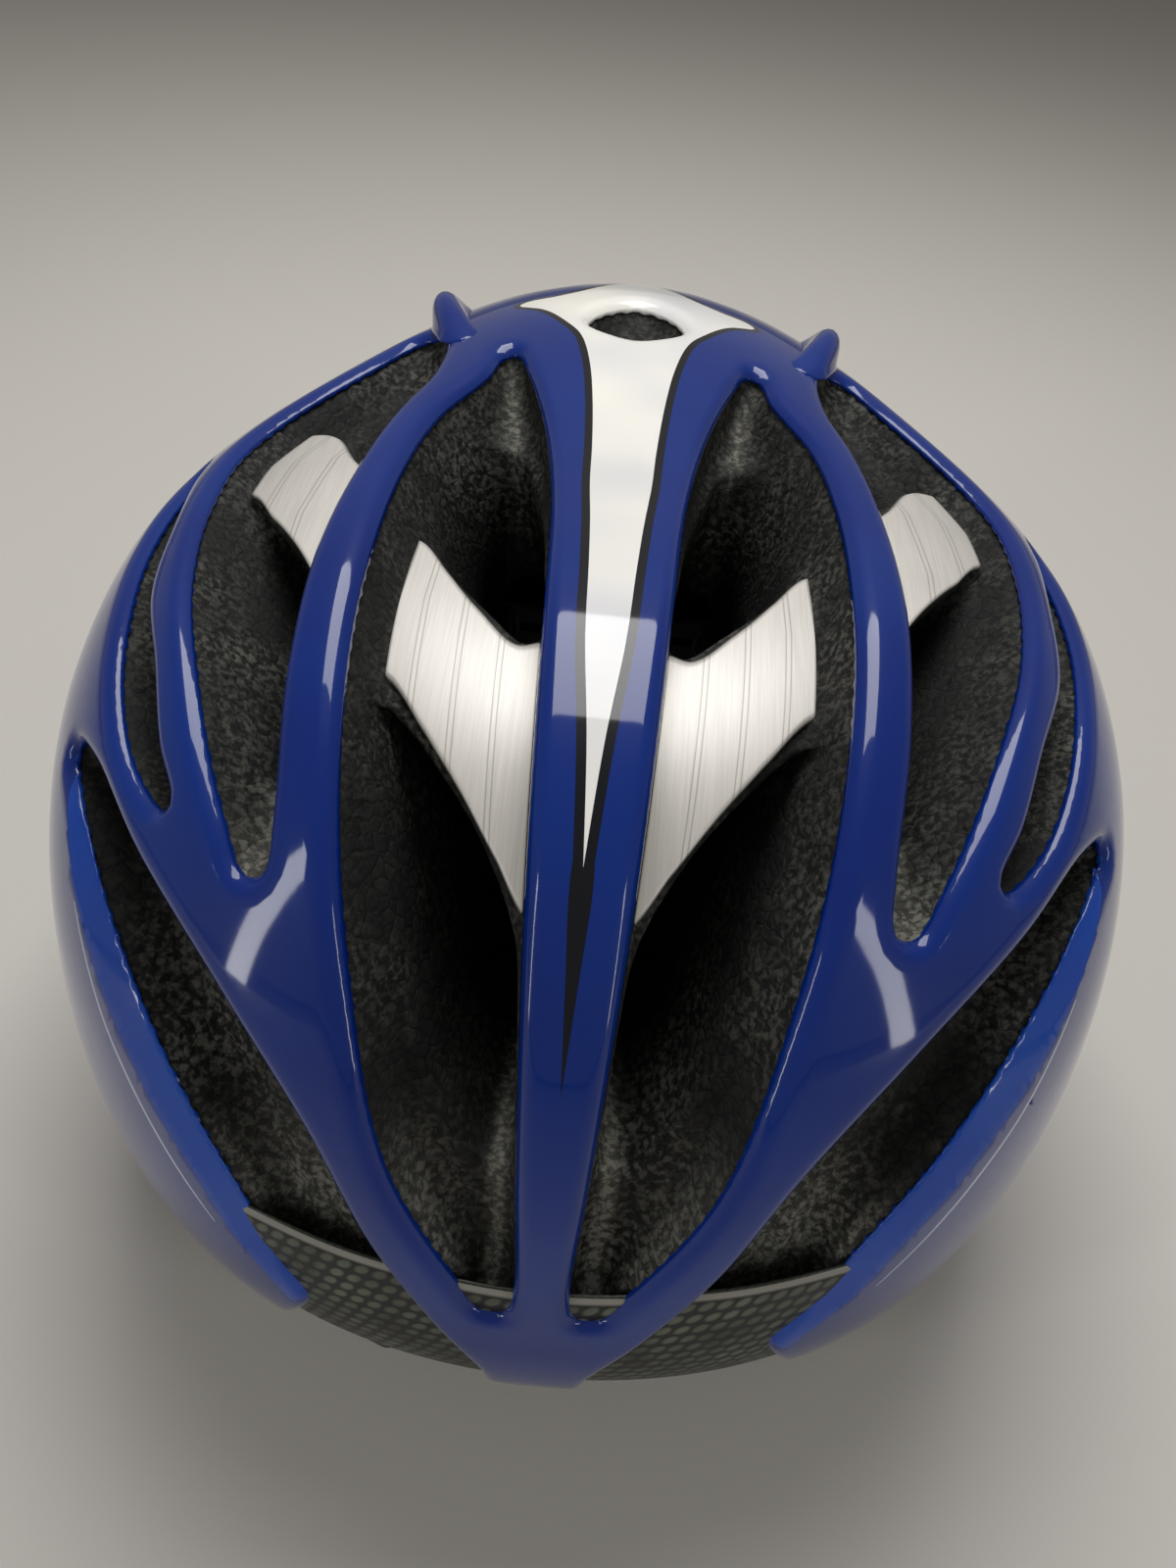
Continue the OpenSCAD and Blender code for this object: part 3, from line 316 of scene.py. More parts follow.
# %% Vent outlines
INNER_VENT = [[[4.6, -88], [7.6, -88]], [[3.5, -85], [10, -84.5]], [[3.6, -72], [16.3, -72]],
              [[4.1, -56], [18.6, -55]], [[5, -38], [20.6, -38]], [[6.2, -20], [22.3, -20]],
              [[7.6, -4], [22.6, -3]], [[9.6, 10], [20.5, 10]], [[12, 20], [16.2, 19]],
              [[13.4, 23.5], [14.8, 23]]]
OUTER_VENT = [[[26.4, -47], [28.4, -47]], [[25.7, -42.5], [30.6, -42.5]], [[26.5, -31], [35, -31]],
              [[27.4, -17], [39.8, -17]], [[27, -4], [42, -4]], [[25.2, 9], [41.5, 9]],
              [[22.5, 19], [36.8, 20]], [[21.8, 27], [30.5, 29]], [[23, 33], [26, 34]]]
SMALL_VENT = [[[36.3, -40], [37.4, -40.4]], [[38.2, -35], [42, -35.2]], [[40.6, -27], [45.6, -27]],
              [[44.4, -17], [48.2, -17]], [[45.6, -6], [50, -6]], [[46.5, 4], [49.5, 5]],
              [[47, 10], [48.2, 10.5]]]
FRONT_OPENING = [[[11, -132], [66, -112]], [[9.8, -110], [45, -98]], [[9.4, -101.5], [35, -91]],
                 [[15, -90], [36.6, -84]], [[20.2, -79.5], [38, -75]], [[24.6, -67], [41.6, -64]],
                 [[31.7, -55], [45, -53.5]], [[40.5, -43], [49, -43]], [[47.5, -33], [52.4, -34]],
                 [[53, -28.5], [54.2, -29.5]]]
EYE_VENT = [[[-0.8, 26.2], [0.8, 26.2]], [[-4.6, 28.4], [4.6, 28.4]], [[-5.4, 30.6], [5.4, 30.6]],
            [[-4, 33.4], [4, 33.4]], [[-0.8, 35.6], [0.8, 35.6]]]
REAR_VENT = [[[8.6, 45], [11.6, 44.4]], [[8, 50], [17, 49]], [[7.6, 60], [19.6, 59]], [[7.4, 70], [19, 70]],
             [[7.6, 78], [15.5, 79]], [[8.6, 83], [11, 83.4]]]
CORNER_VENT = [[[30.6, 38.4], [33.6, 36.6]], [[27.4, 45], [40.5, 40]], [[25.8, 56], [43.8, 50]],
               [[25.4, 68], [41, 63]], [[27, 77], [35, 74]], [[29.2, 81], [31.6, 80.2]]]
FLANK_VENT = [[[60, -14], [62.4, -14.6]], [[57.6, -6], [67.8, -8]], [[56.4, 8], [70.6, 6]],
              [[55, 22], [70, 22]], [[53.4, 35], [65, 38]], [[53, 42], [57.4, 44.6]]]
NAPE_VENT = [[[7, 92], [9.4, 91]], [[7, 96], [17, 93.4]], [[8, 100], [21, 98]], [[12, 102.6], [18.4, 102]]]
print("widest vent, degrees:", max(left[0] - right[0] for right, left in FRONT_OPENING + INNER_VENT))

# %% Air passages through the foam
FRONT_PASSAGE = [[[5.2, -74], [8.8, -74.5]], [[4.9, -67], [13.6, -67.5]], [[5, -60], [16.6, -58]],
                 [[5.8, -53.6], [18.2, -49]], [[9.6, -46], [19.6, -41.5]], [[14, -40.2], [20.4, -36.5]],
                 [[18.8, -34.8], [20.8, -33.2]]]
REAR_PASSAGE = [[[6.6, -25.2], [8.6, -25.4]], [[6.9, -20], [12.6, -21.4]], [[8, -13], [18.6, -14]],
                [[8.8, -6], [21.6, -8]], [[9.8, 0.5], [21.9, 0.5]], [[11.2, 7], [20.7, 7.5]],
                [[13.2, 12.5], [17.6, 13.6]]]
OUTER_FRONT_PASSAGE = [[[28, -40], [30.4, -39.6]], [[28, -33], [34.2, -32]], [[28.2, -25], [37.2, -23]],
                       [[29.6, -19.4], [39.6, -14]], [[33.4, -12.6], [40.8, -7.5]],
                       [[37.4, -6.4], [41, -3.2]], [[39.6, -2.2], [40.8, -1.4]]]
OUTER_REAR_PASSAGE = [[[27, 3.2], [28.2, 4.2]], [[26.4, 8.5], [31.4, 11]], [[25.4, 14.5], [35, 16.8]],
                      [[24.4, 20.5], [34.4, 21]], [[23.6, 26], [30, 26.6]], [[24, 29.4], [26.4, 30]]]
TAIL_PASSAGE = [[[9.6, 52], [15, 51.4]], [[9.4, 60], [17.4, 59.4]], [[9.4, 70], [16.6, 70]],
                [[9.8, 76], [13, 76.4]]]
CORNER_PASSAGE = [[[30, 48], [37, 45]], [[28.4, 56], [41, 51.6]], [[28.2, 66], [38.6, 62]],
                  [[29.4, 73], [33.6, 72]]]
print("pairs of points along a passage:", len(FRONT_PASSAGE))

# %% Curves on the flat map
def closed_curve(points, per_segment=12):
    """Centripetal Catmull-Rom loop through the points, which suits uneven spacing."""
    p = np.asarray(points, float)
    n = len(p)
    out = []
    for i in range(n):
        a, b, c, d = p[(i - 1) % n], p[i], p[(i + 1) % n], p[(i + 2) % n]
        ta, tb, tc = (np.linalg.norm(y - x) ** 0.5 for x, y in ((a, b), (b, c), (c, d)))
        for k in range(per_segment):
            t = ta + tb * k / per_segment
            ab = a + (b - a) * t / ta
            bc = b + (c - b) * (t - ta) / tb
            cd = c + (d - c) * (t - ta - tb) / tc
            abc = ab + (bc - ab) * t / (ta + tb)
            bcd = bc + (cd - bc) * (t - ta) / (tb + tc)
            out.append(abc + (bcd - abc) * (t - ta) / tb)
    return np.array(out)


def evenly(loop, spacing, closed=True):
    """The loop resampled so that its points lie a spacing in millimetres apart on the shell."""
    points = np.vstack([loop, loop[:1]]) if closed else np.asarray(loop, float)
    solid = at_surface(points)
    along = np.concatenate([[0], np.cumsum(np.linalg.norm(np.diff(solid, axis=0), axis=1))])
    count = max(6, round(along[-1] / spacing))
    wanted = np.linspace(0, along[-1], count, endpoint=not closed)
    return np.stack([np.interp(wanted, along, points[:, k]) for k in (0, 1)], -1)


def vent_loop(vent, spacing=1.3):
    """A vent's closed outline: up its right edge and down its left."""
    right = [pair[0] for pair in vent]
    left = [pair[1] for pair in vent]
    return evenly(closed_curve(right + left[::-1]), spacing)


def mirrored(loop):
    return loop[::-1] * [-1, 1]


def inside(loop, points):
    """Which points lie in the closed loop, by counting crossings."""
    result = np.zeros(len(points), bool)
    x, y = points[:, 0], points[:, 1]
    for a, b in zip(loop, np.roll(loop, -1, axis=0)):
        if a[1] != b[1]:
            crosses = (a[1] > y) != (b[1] > y)
            result ^= crosses & (x < (b[0] - a[0]) * (y - a[1]) / (b[1] - a[1]) + a[0])
    return result


def both_sides(loop):
    """The outline on the wearer's left and its mirror image."""
    return loop, mirrored(loop)


print("points round the inner vent:", len(vent_loop(INNER_VENT)))

# %% All outlines
PAIRED = [INNER_VENT, OUTER_VENT, SMALL_VENT, FRONT_OPENING, REAR_VENT, CORNER_VENT, FLANK_VENT, NAPE_VENT]
VENT_LOOPS = [loop for vent in PAIRED for loop in both_sides(vent_loop(vent))] + [vent_loop(EYE_VENT)]
FRONT_PASSAGES = [FRONT_PASSAGE, REAR_PASSAGE, OUTER_FRONT_PASSAGE, OUTER_REAR_PASSAGE]
PASSAGES = FRONT_PASSAGES + [TAIL_PASSAGE, CORNER_PASSAGE]
PASSAGE_LOOPS = [loop for vent in PASSAGES for loop in both_sides(vent_loop(vent, 1.6))]
print("vent outlines:", len(VENT_LOOPS), "air passages:", len(PASSAGE_LOOPS))

# %% [markdown]
# ## Filling the flat map with triangles
# A constrained triangulation keeps every outline as a crisp row of edges. Rows of
# points beside each outline carry the rolled edge, and a loose hexagonal grid fills
# the rest. Once triangulated, each point is lifted back onto the egg at its depth.

# %% Triangulation of the flat map
def offset_row(loop, distance, outward):
    """The loop moved sideways on the shell by a distance in millimetres."""
    step = 0.05
    here = at_surface(loop)
    ju = (at_surface(loop + [step, 0]) - here) / step
    jv = (at_surface(loop + [0, step]) - here) / step
    along = np.roll(here, -1, axis=0) - np.roll(here, 1, axis=0)
    side = np.cross(along, np.cross(ju, jv))
    side /= np.linalg.norm(side, axis=1, keepdims=True)
    e, f, g = (ju * ju).sum(1), (ju * jv).sum(1), (jv * jv).sum(1)
    p, q = (side * ju).sum(1), (side * jv).sum(1)
    det = e * g - f * f
    shift = np.stack([(g * p - f * q) / det, (e * q - f * p) / det], -1) * distance
    test = inside(loop, loop + shift * 0.05 / distance)
    flip = np.where(test.mean() > 0.5, -1, 1) * (1 if outward else -1)
    return loop + shift * flip


def hex_grid(spacing, reach=152):
    """Loose points in even rows, every other row set half a step along."""
    row_step = spacing * math.sqrt(0.75)
    v = -reach + row_step * np.arange(int(2 * reach / row_step) + 1)
    u = np.arange(-reach, reach, spacing)
    grid = np.stack(np.meshgrid(u, v), -1)
    grid[1::2, :, 0] += spacing / 2
    return grid.reshape(-1, 2)


def triangulate(loops, lines, loose, keep):
    """(points, triangles) of the map with the loops and lines as edges; keep tests triangle centres."""
    points, edges = [], []
    for chain, closed in [(l, True) for l in loops] + [(l, False) for l in lines]:
        start = len(points)
        points.extend(map(tuple, chain))
        count = len(chain)
        edges.extend((start + i, start + (i + 1) % count) for i in range(count if closed else count - 1))
    points.extend(map(tuple, loose))
    result = delaunay_2d_cdt([Vector(p) for p in points], edges, [], 0, 1e-5, False)
    flat = np.array([(v.x, v.y) for v in result[0]])
    triangles = np.array([f for f in result[2] if len(f) == 3])
    triangles = triangles[keep(flat[triangles].mean(1))]
    used, index = np.unique(triangles, return_inverse=True)
    return flat[used], index.reshape(-1, 3)

print("loose points at 10 degrees:", len(hex_grid(10)))

# %% Pieces made and settled
def build(name, points_mm, faces, material, body, slot):
    """A piece in the frame's metres, riding on a body."""
    mesh = bpy.data.meshes.new(name)
    mesh.from_pydata((np.asarray(points_mm) * MM).tolist(), [], [tuple(f) for f in faces])
    mesh.validate()
    mesh.shade_smooth()
    mesh.materials.append(material)
    piece = bpy.data.objects.new(name, mesh)
    bpy.context.collection.objects.link(piece)
    piece["rides_on"], piece["finish_slot"] = body, slot
    return piece


def settle(piece, replaces=()):
    """Gives a finished piece its body and the nodes that it stands for."""
    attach(piece, piece["rides_on"])
    if replaces:
        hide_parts(*replaces)
    print(piece.name, "faces:", len(piece.data.polygons))


def point_out(mesh):
    """Merges doubles and turns all faces outwards."""
    work = bmesh.new()
    work.from_mesh(mesh)
    bmesh.ops.remove_doubles(work, verts=work.verts, dist=1e-7)
    bmesh.ops.recalc_face_normals(work, faces=work.faces)
    work.to_mesh(mesh)
    work.free()


def lay_map(piece, name, flat):
    """A UV map that gives every point its place in millimetres on the flat cloth or film."""
    corner_point = np.zeros(len(piece.data.loops), int)
    piece.data.loops.foreach_get("vertex_index", corner_point)
    piece.data.uv_layers.new(name=name).data.foreach_set("uv", flat[corner_point].ravel())


def slab_faces(rows, cols):
    """Faces of a closed slab: a grid of points, the same grid behind it and a border."""
    n = rows * cols
    cells = [(i * cols + j, i * cols + j + 1, (i + 1) * cols + j + 1, (i + 1) * cols + j)
             for i in range(rows - 1) for j in range(cols - 1)]
    loop = list(range(cols)) + [i * cols + cols - 1 for i in range(1, rows)]
    loop += [(rows - 1) * cols + j for j in range(cols - 2, -1, -1)]
    loop += [i * cols for i in range(rows - 2, 0, -1)]
    back = [tuple(n + k for k in reversed(cell)) for cell in cells]
    return cells + back + [(a, n + a, n + b, b) for a, b in zip(loop, loop[1:] + loop[:1])]


print("faces of a slab of 2 by 2 points:", len(slab_faces(2, 2)))

# %% [markdown]
# ## Paint, foam and film
# The outer skin is a thin polycarbonate sheet, painted on the inside and glossy on the
# outside, so the eye sees a deep colour under a clear coat. One face attribute says
# which colour each facet carries: the graphics are cut into the mesh as crisp edges,
# which stay sharp at any distance, where a pattern drawn by nodes would have to
# repeat the same curves in formulas.

# %% Painted polycarbonate
def per_mm(size):
    """Texture scale in metres for a feature of a size in millimetres."""
    return 1 / (size * MM)


def painted_polycarbonate():
    """Thermoformed sheet, painted from behind: deep colour, hard clear gloss, faint waviness."""
    material, tree, shader = new_material("painted polycarbonate")
    paint = node(tree, "ShaderNodeAttribute", attribute_name="paint", attribute_type="GEOMETRY")
    # The last stop, a lighter blue, is a painted highlight for the bevelled facets.
    colours = node(tree, "ShaderNodeValToRGB", [("Fac", paint.outputs["Fac"])],
                   ramp=[(0.0, "#062974"), (0.15, "#e9e6dd"), (0.35, "#0b0d14"), (0.55, "#b9bec9"),
                         (0.75, "#18459c")])
    colours.color_ramp.interpolation = "CONSTANT"
    where = node(tree, "ShaderNodeTexCoord").outputs["Object"]
    cloud = node(tree, "ShaderNodeTexNoise", [("Vector", where)], in_Scale=per_mm(45), in_Detail=2.0)
    fade = node(tree, "ShaderNodeValToRGB", [("Fac", cloud.outputs["Fac"])],
                ramp=[(0.35, "#d9dcec"), (0.65, "#ffffff")])
    tint = node(tree, "ShaderNodeMix", [(6, colours.outputs["Color"]), (7, fade.outputs["Color"])],
                data_type="RGBA", blend_type="MULTIPLY", in_0=1.0)
    wave = node(tree, "ShaderNodeTexNoise", [("Vector", where)], in_Scale=per_mm(9), in_Detail=1.5)
    bump = node(tree, "ShaderNodeBump", [("Height", wave.outputs["Fac"])], in_Strength=0.05,
                in_Distance=0.0004)
    set_up(tree, shader, [("Base Color", tint.outputs[2]), ("Normal", bump.outputs["Normal"]),
                          ("Coat Normal", bump.outputs["Normal"])],
           in_Roughness=0.4, in_Specular_IOR_Level=0.06, in_Coat_Weight=1.0, in_Coat_Roughness=0.06,
           in_Coat_IOR=1.36)
    return material


PAINT = painted_polycarbonate()
# Places on the colour ramp that the paint attribute picks; the lighter blue is a painted highlight.
BLUE, WHITE, BLACK, SILVER, PAINTED_HIGHLIGHT_BLUE = 0.05, 0.25, 0.45, 0.65, 0.85


# %% Moulded bead foam
BEAD = 2.4    # millimetres across a bead


def bead_foam():
    """Expanded polystyrene, dyed black: beads of 2 to 3 mm, dull, with pale flecks in patches and where it is
    scuffed and lit; the latter is partly wear, partly painted light.
    """
    material, tree, shader = new_material("moulded bead foam")
    where = node(tree, "ShaderNodeTexCoord").outputs["Object"]
    seams = node(tree, "ShaderNodeTexVoronoi", [("Vector", where)], feature="DISTANCE_TO_EDGE",
                 in_Scale=per_mm(BEAD))
    cells = node(tree, "ShaderNodeTexVoronoi", [("Vector", where)], feature="F1", in_Scale=per_mm(BEAD))
    grain = node(tree, "ShaderNodeTexNoise", [("Vector", where)], in_Scale=per_mm(1.3), in_Detail=3.0)
    patch = node(tree, "ShaderNodeTexNoise", [("Vector", where)], in_Scale=per_mm(24), in_Detail=2.0)
    bead = node(tree, "ShaderNodeValToRGB", [("Fac", cells.outputs["Color"])],
                ramp=[(0.1, "#0c0c0d"), (0.95, "#1a1a19")])
    fleck = node(tree, "ShaderNodeValToRGB", [("Fac", grain.outputs["Fac"])],
                 ramp=[(0.44, "#000000"), (0.62, "#ffffff")])
    dust = node(tree, "ShaderNodeValToRGB", [("Fac", patch.outputs["Fac"])],
                ramp=[(0.4, "#303030"), (0.7, "#b4b4b4")])
    # This attribute lightens the foam at the brow and along channel ridges: partly scuffing, partly painted
    # light.
    use = node(tree, "ShaderNodeAttribute", attribute_name="worn", attribute_type="GEOMETRY")
    base = node(tree, "ShaderNodeMath", [(0, dust.outputs["Color"]), (1, use.outputs["Fac"])],
                operation="ADD")
    amount = node(tree, "ShaderNodeMath", [(0, fleck.outputs["Color"]), (1, base.outputs[0])],
                  operation="MULTIPLY")
    dust_scuff_and_light = node(tree, "ShaderNodeMath", [(0, use.outputs["Fac"]), (2, amount.outputs[0])],
                 operation="MULTIPLY_ADD", in_1=0.5, use_clamp=True)
    worn = node(tree, "ShaderNodeMix", [(0, dust_scuff_and_light.outputs[0]), (6, bead.outputs["Color"])],
                data_type="RGBA", in_7=srgb("#74736a"))
    edge = node(tree, "ShaderNodeValToRGB", [("Fac", seams.outputs["Distance"])],
                ramp=[(0.0, "#8c8c88"), (0.07, "#ffffff")])
    dark = node(tree, "ShaderNodeMix", [(6, worn.outputs[2]), (7, edge.outputs["Color"])],
                data_type="RGBA", blend_type="MULTIPLY", in_0=0.7)
    dome = node(tree, "ShaderNodeMapRange", [("Value", seams.outputs["Distance"])], in_From_Max=0.16)
    height = node(tree, "ShaderNodeMath", [(0, grain.outputs["Fac"]), (2, dome.outputs["Result"])],
                  operation="MULTIPLY_ADD", in_1=1.2)
    bump = node(tree, "ShaderNodeBump", [("Height", height.outputs[0])], in_Strength=0.35,
                in_Distance=0.0003)
    set_up(tree, shader, [("Base Color", dark.outputs[2]), ("Normal", bump.outputs["Normal"])],
           in_Roughness=0.78, in_Specular_IOR_Level=0.25)
    return material


FOAM = bead_foam()
print("materials:", PAINT.name, "and", FOAM.name)

# %% [markdown]
# ## The upper shell
# A thermoformed sheet has no sharp corners: it turns down into every vent with a
# radius of about 3 mm. Here the turn is a depth that depends on the distance to the
# nearest outline, carried by five rows of points. Solidify then gives the sheet its
# wall, inwards, so that the outer size stays as built.

# %% Rolled edges
ROLL = 3.0         # radius of a vent's edge
EDGE_ROLL = 1.2    # radius of the sheet's lower edge
SHEET = 1.1        # wall


def roll(distance, radius=ROLL):
    """How far a rolled edge has dropped at a distance from its outline."""
    near = np.clip(radius - distance, 0, radius)
    return radius - np.sqrt(radius ** 2 - near ** 2)


def rows_beside(loops, offsets, outward, gap_of):
    """Rows of points beside the outlines, thinned where two rows would meet."""
    rows = []
    for distance in offsets:
        row = np.vstack([offset_row(loop, distance, outward) for loop in loops])
        gap = gap_of(at_surface(row))
        rows.append(row[gap > 0.8 * distance - 0.08])
    return np.vstack(rows)


def point_tree(solid):
    """A search tree of points, for finding the nearest one."""
    tree = KDTree(len(solid))
    for i, p in enumerate(solid):
        tree.insert(p, i)
    tree.balance()
    return tree


def gap_finder(loops):
    """A function that gives each solid point's distance in millimetres to the nearest outline."""
    tree = point_tree(at_surface(np.vstack([evenly(loop, 0.15) for loop in loops])))
    return lambda points: np.array([tree.find(p)[2] for p in points])


vent_gap = gap_finder(VENT_LOOPS)
ROLL_OFFSETS = [ROLL * (1 - math.sin(math.radians(a))) for a in (68, 45, 22, 0)] + [4.6]
print("rows beside each vent, mm:", [round(offset, 2) for offset in ROLL_OFFSETS])

# %% [markdown]
# ## The graphics
# A white blade runs down the middle rib and spreads behind the crown into two curled
# arms round a small eye-shaped vent. A thin dark line follows it. On each side a
# bevelled facet, painted a lighter blue as a painted highlight, lies above a fine bright line.

# %% Graphic outlines on the flat map
BLADE = [[0, -47], [0.7, -38], [1.7, -29], [2.2, -20], [2.7, -12], [3.3, -4], [3.6, 4], [4.1, 13],
         [4.8, 20], [6, 25.5], [8, 29], [10.5, 32.4], [13.4, 34.6], [12.4, 36.2], [9.4, 37], [6.4, 39],
         [3.2, 43], [0, 47.5]]
NEEDLE = [[0, -63], [0.5, -55], [0.9, -47.4], [0, -42]]
CREASE = [[38, -88], [41, -80], [42.5, -72.6], [45, -66], [47.2, -59], [50, -50.5], [52, -42], [53, -35],
          [54.5, -28.5]]
PINSTRIPE = [[43.8, -78.5], [46.8, -70], [49.3, -61.5], [51, -54.7], [52.3, -44]]


def open_curve(points, spacing=1.6):
    p = np.asarray(points, float)
    dense = smooth_list(p, np.linspace(0, len(p) - 1, 12 * len(p)))
    return evenly(dense, spacing, closed=False)


def both_halves(points, spacing=1.3):
    """A symmetric closed outline from its left half."""
    left = open_curve(points, spacing)
    return np.vstack([left, left[-2:0:-1] * [-1, 1]])


def strip_loop(points, half_width):
    """A closed strip round an open line, half_width in degrees."""
    line = open_curve(points, 1.6)
    step = np.gradient(line, axis=0)
    normal = np.stack([-step[:, 1], step[:, 0]], -1)
    normal /= np.linalg.norm(normal, axis=1, keepdims=True)
    taper = np.sin(np.linspace(0.05, math.pi - 0.05, len(line)))[:, None] ** 0.3
    return np.vstack([line + normal * half_width * taper, (line - normal * half_width * taper)[::-1]])


blade = both_halves(BLADE)
needle = both_halves(NEEDLE, 0.9)
outline = offset_row(blade, 1.5, True)
pin_left = strip_loop(PINSTRIPE, 0.24)
pin_right = mirrored(pin_left)
crease_left = open_curve(CREASE, 1.4)
crease_right = crease_left * [-1, 1]
print("points round the blade:", len(blade))


# %% Shell mesh
SHELL_FOOT = rim_loop(1.75, 420)
GRID_CLEAR = 5.2, 2.0    # kept free of loose points round a vent and along the foot
foot_gap = gap_finder([SHELL_FOOT])


def in_any(loops, points):
    hit = np.zeros(len(points), bool)
    for loop in loops:
        hit |= inside(loop, points)
    return hit


def keep_shell(points):
    return inside(SHELL_FOOT, points) & ~in_any(VENT_LOOPS, points)


loose = hex_grid(1.5)
loose = loose[inside(SHELL_FOOT, loose)]
loose_mm = at_surface(loose)
loose = loose[(vent_gap(loose_mm) > GRID_CLEAR[0]) & (foot_gap(loose_mm) > GRID_CLEAR[1])]
rows = rows_beside(VENT_LOOPS, ROLL_OFFSETS, True, vent_gap)
rows = rows[inside(SHELL_FOOT, rows)]
foot_row = offset_row(SHELL_FOOT, EDGE_ROLL, False)
graphics = [blade, needle, outline, pin_left, pin_right]
shell_uv, shell_faces = triangulate([SHELL_FOOT] + VENT_LOOPS + graphics, [crease_left, crease_right],
                                    np.vstack([loose, rows, foot_row]), keep_shell)
flat_mm = at_surface(shell_uv)
shell_depth = roll(vent_gap(flat_mm)) + roll(foot_gap(flat_mm), EDGE_ROLL) * 0.8
print("shell points:", len(shell_uv), "faces:", len(shell_faces))

# %% Bevelled facet below the side vents
crease_gap = gap_finder([np.vstack([crease_left, crease_left[::-1]])])
opening_gap = gap_finder([vent_loop(FRONT_OPENING)])
FACET_FRONT, FACET_REAR, FACET_DEEP, FACET_FADE = -91, -29, 2.4, 9


def facet_depth(uv):
    """Sinks the strip between the front opening's outer edge and the crease, most at the edge."""
    folded = np.stack([np.abs(uv[:, 0]), uv[:, 1]], -1)
    outer_edge = np.array([pair[1] for pair in FRONT_OPENING[2:]], float)
    crease = np.array(CREASE, float)
    inner = np.interp(folded[:, 1], outer_edge[:, 1], outer_edge[:, 0])
    outer = np.interp(folded[:, 1], crease[:, 1], crease[:, 0])
    along = folded[:, 1]
    on_strip = (folded[:, 0] > inner - 2.5) & (folded[:, 0] < outer)
    on_strip &= (along > FACET_FRONT) & (along < FACET_REAR)
    solid = at_surface(folded)
    to_crease, to_edge = crease_gap(solid), opening_gap(solid)
    ends = np.clip(np.minimum(along - FACET_FRONT, FACET_REAR - along) / FACET_FADE, 0, 1)
    return np.where(on_strip, FACET_DEEP * ends * to_crease / (to_crease + to_edge + 1e-6), 0)


shell_depth = np.maximum(shell_depth, facet_depth(shell_uv))
print("deepest point of the sheet, mm:", shell_depth.max().round(2))

# %% The finished upper shell
paint = np.full(len(shell_faces), BLUE)
centres = shell_uv[shell_faces].mean(1)
# The bevelled facets get a lighter blue: a painted highlight, not a colour of their own.
paint[facet_depth(centres) > 0] = PAINTED_HIGHLIGHT_BLUE
paint[inside(outline, centres)] = BLACK
paint[inside(needle, centres)] = BLACK
paint[inside(blade, centres)] = WHITE
paint[inside(pin_left, centres) | inside(pin_right, centres)] = SILVER
upper_shell = build("painted_upper_shell", on_shell(shell_uv, shell_depth), shell_faces, PAINT,
                    "helmet", "blue_shell")
layer = upper_shell.data.attributes.new("paint", "FLOAT", "FACE")
layer.data.foreach_set("value", paint)
wall = upper_shell.modifiers.new("sheet", "SOLIDIFY")
wall.thickness = SHEET * MM
wall.offset = -1
settle(upper_shell, ["upper_shell"])


# %% [markdown]
# ## The foam liner
# The liner is one moulding. Outside it follows the sheet, in the vents it drops into
# deep channels, and six openings on each half go through to the head. It is built as
# an outer and an inner skin on the same flat map, joined by the walls of the
# openings and by a rounded rim, so that it closes into one solid.

# %% Depth of the foam
COVER = 1.35          # depth of the foam under the sheet
CHANNEL = 13.0        # depth of a channel's floor
BARE = 2.3            # depth of the bare foam in the front openings
UNDER_LOWER = 3.6     # depth under the lower sheet
WALL_RUN = 3.2        # over which a channel's wall rounds into its floor
LIP = COVER + ROLL + 0.1
EYE_DEEP, HOLE_ROLL = 8.0, 1.4
NOSE_TROUGH = FRONT_OPENING[3:]
TROUGHS = [(INNER_VENT, CHANNEL, 2.4, 2.4), (OUTER_VENT, CHANNEL, 2, 2), (SMALL_VENT, CHANNEL, 2, 2),
           (NOSE_TROUGH, CHANNEL, 2.0, 1.6), (REAR_VENT, CHANNEL, 1.5, 1.5),
           (CORNER_VENT, CHANNEL, 1.5, 1.5), (FLANK_VENT, 10.0, 2, 2), (NAPE_VENT, 7.0, 1, 1)]
FRONT_LOOPS = both_sides(vent_loop(FRONT_OPENING))
hole_gap = gap_finder(PASSAGE_LOOPS)

# A bridge's front and rear line: share of the way across, then v of either line.
INNER_BRIDGE = [[0, -52, -25.6], [0.2, -47.6, -26], [0.45, -42, -21.6], [0.7, -36.6, -16], [1, -30.5, -9.2]]
OUTER_BRIDGE = [[0, -22, -1], [0.25, -16.6, 5], [0.5, -10.4, 10.6], [0.75, -4.2, 15.2], [1, 1.4, 16.8]]
FILM_TOP, FILM_T, WALL_MARGIN = 11.35, 1.2, 0.5
OUTER_LIFT = 4.4      # how far an outer plate rises at its outer end
SEAT, SEAT_FALL = 0.9, 3.5
RUNGS = 5
print("passage outlines searched:", len(PASSAGE_LOOPS))

# %% Seats of the bridges
def film_depth(vent, across):
    """Depth of a bridge's plate; the outer ones rise towards the outer rib."""
    return FILM_TOP - (OUTER_LIFT if vent is OUTER_VENT else 0) * np.clip((across - 0.1) / 0.9, 0, 1)


def vent_walls(vent, v):
    """Where a vent's right and left walls lie at a distance v to the rear."""
    return [np.interp(v, [pair[k][1] for pair in vent], [pair[k][0] for pair in vent]) for k in (0, 1)]


def bridge_edges(bridge, across):
    """The front and rear lines of a bridge at each share across."""
    place = np.interp(across, [b[0] for b in bridge], np.arange(len(bridge)))
    return smooth_list([b[1:] for b in bridge], place)


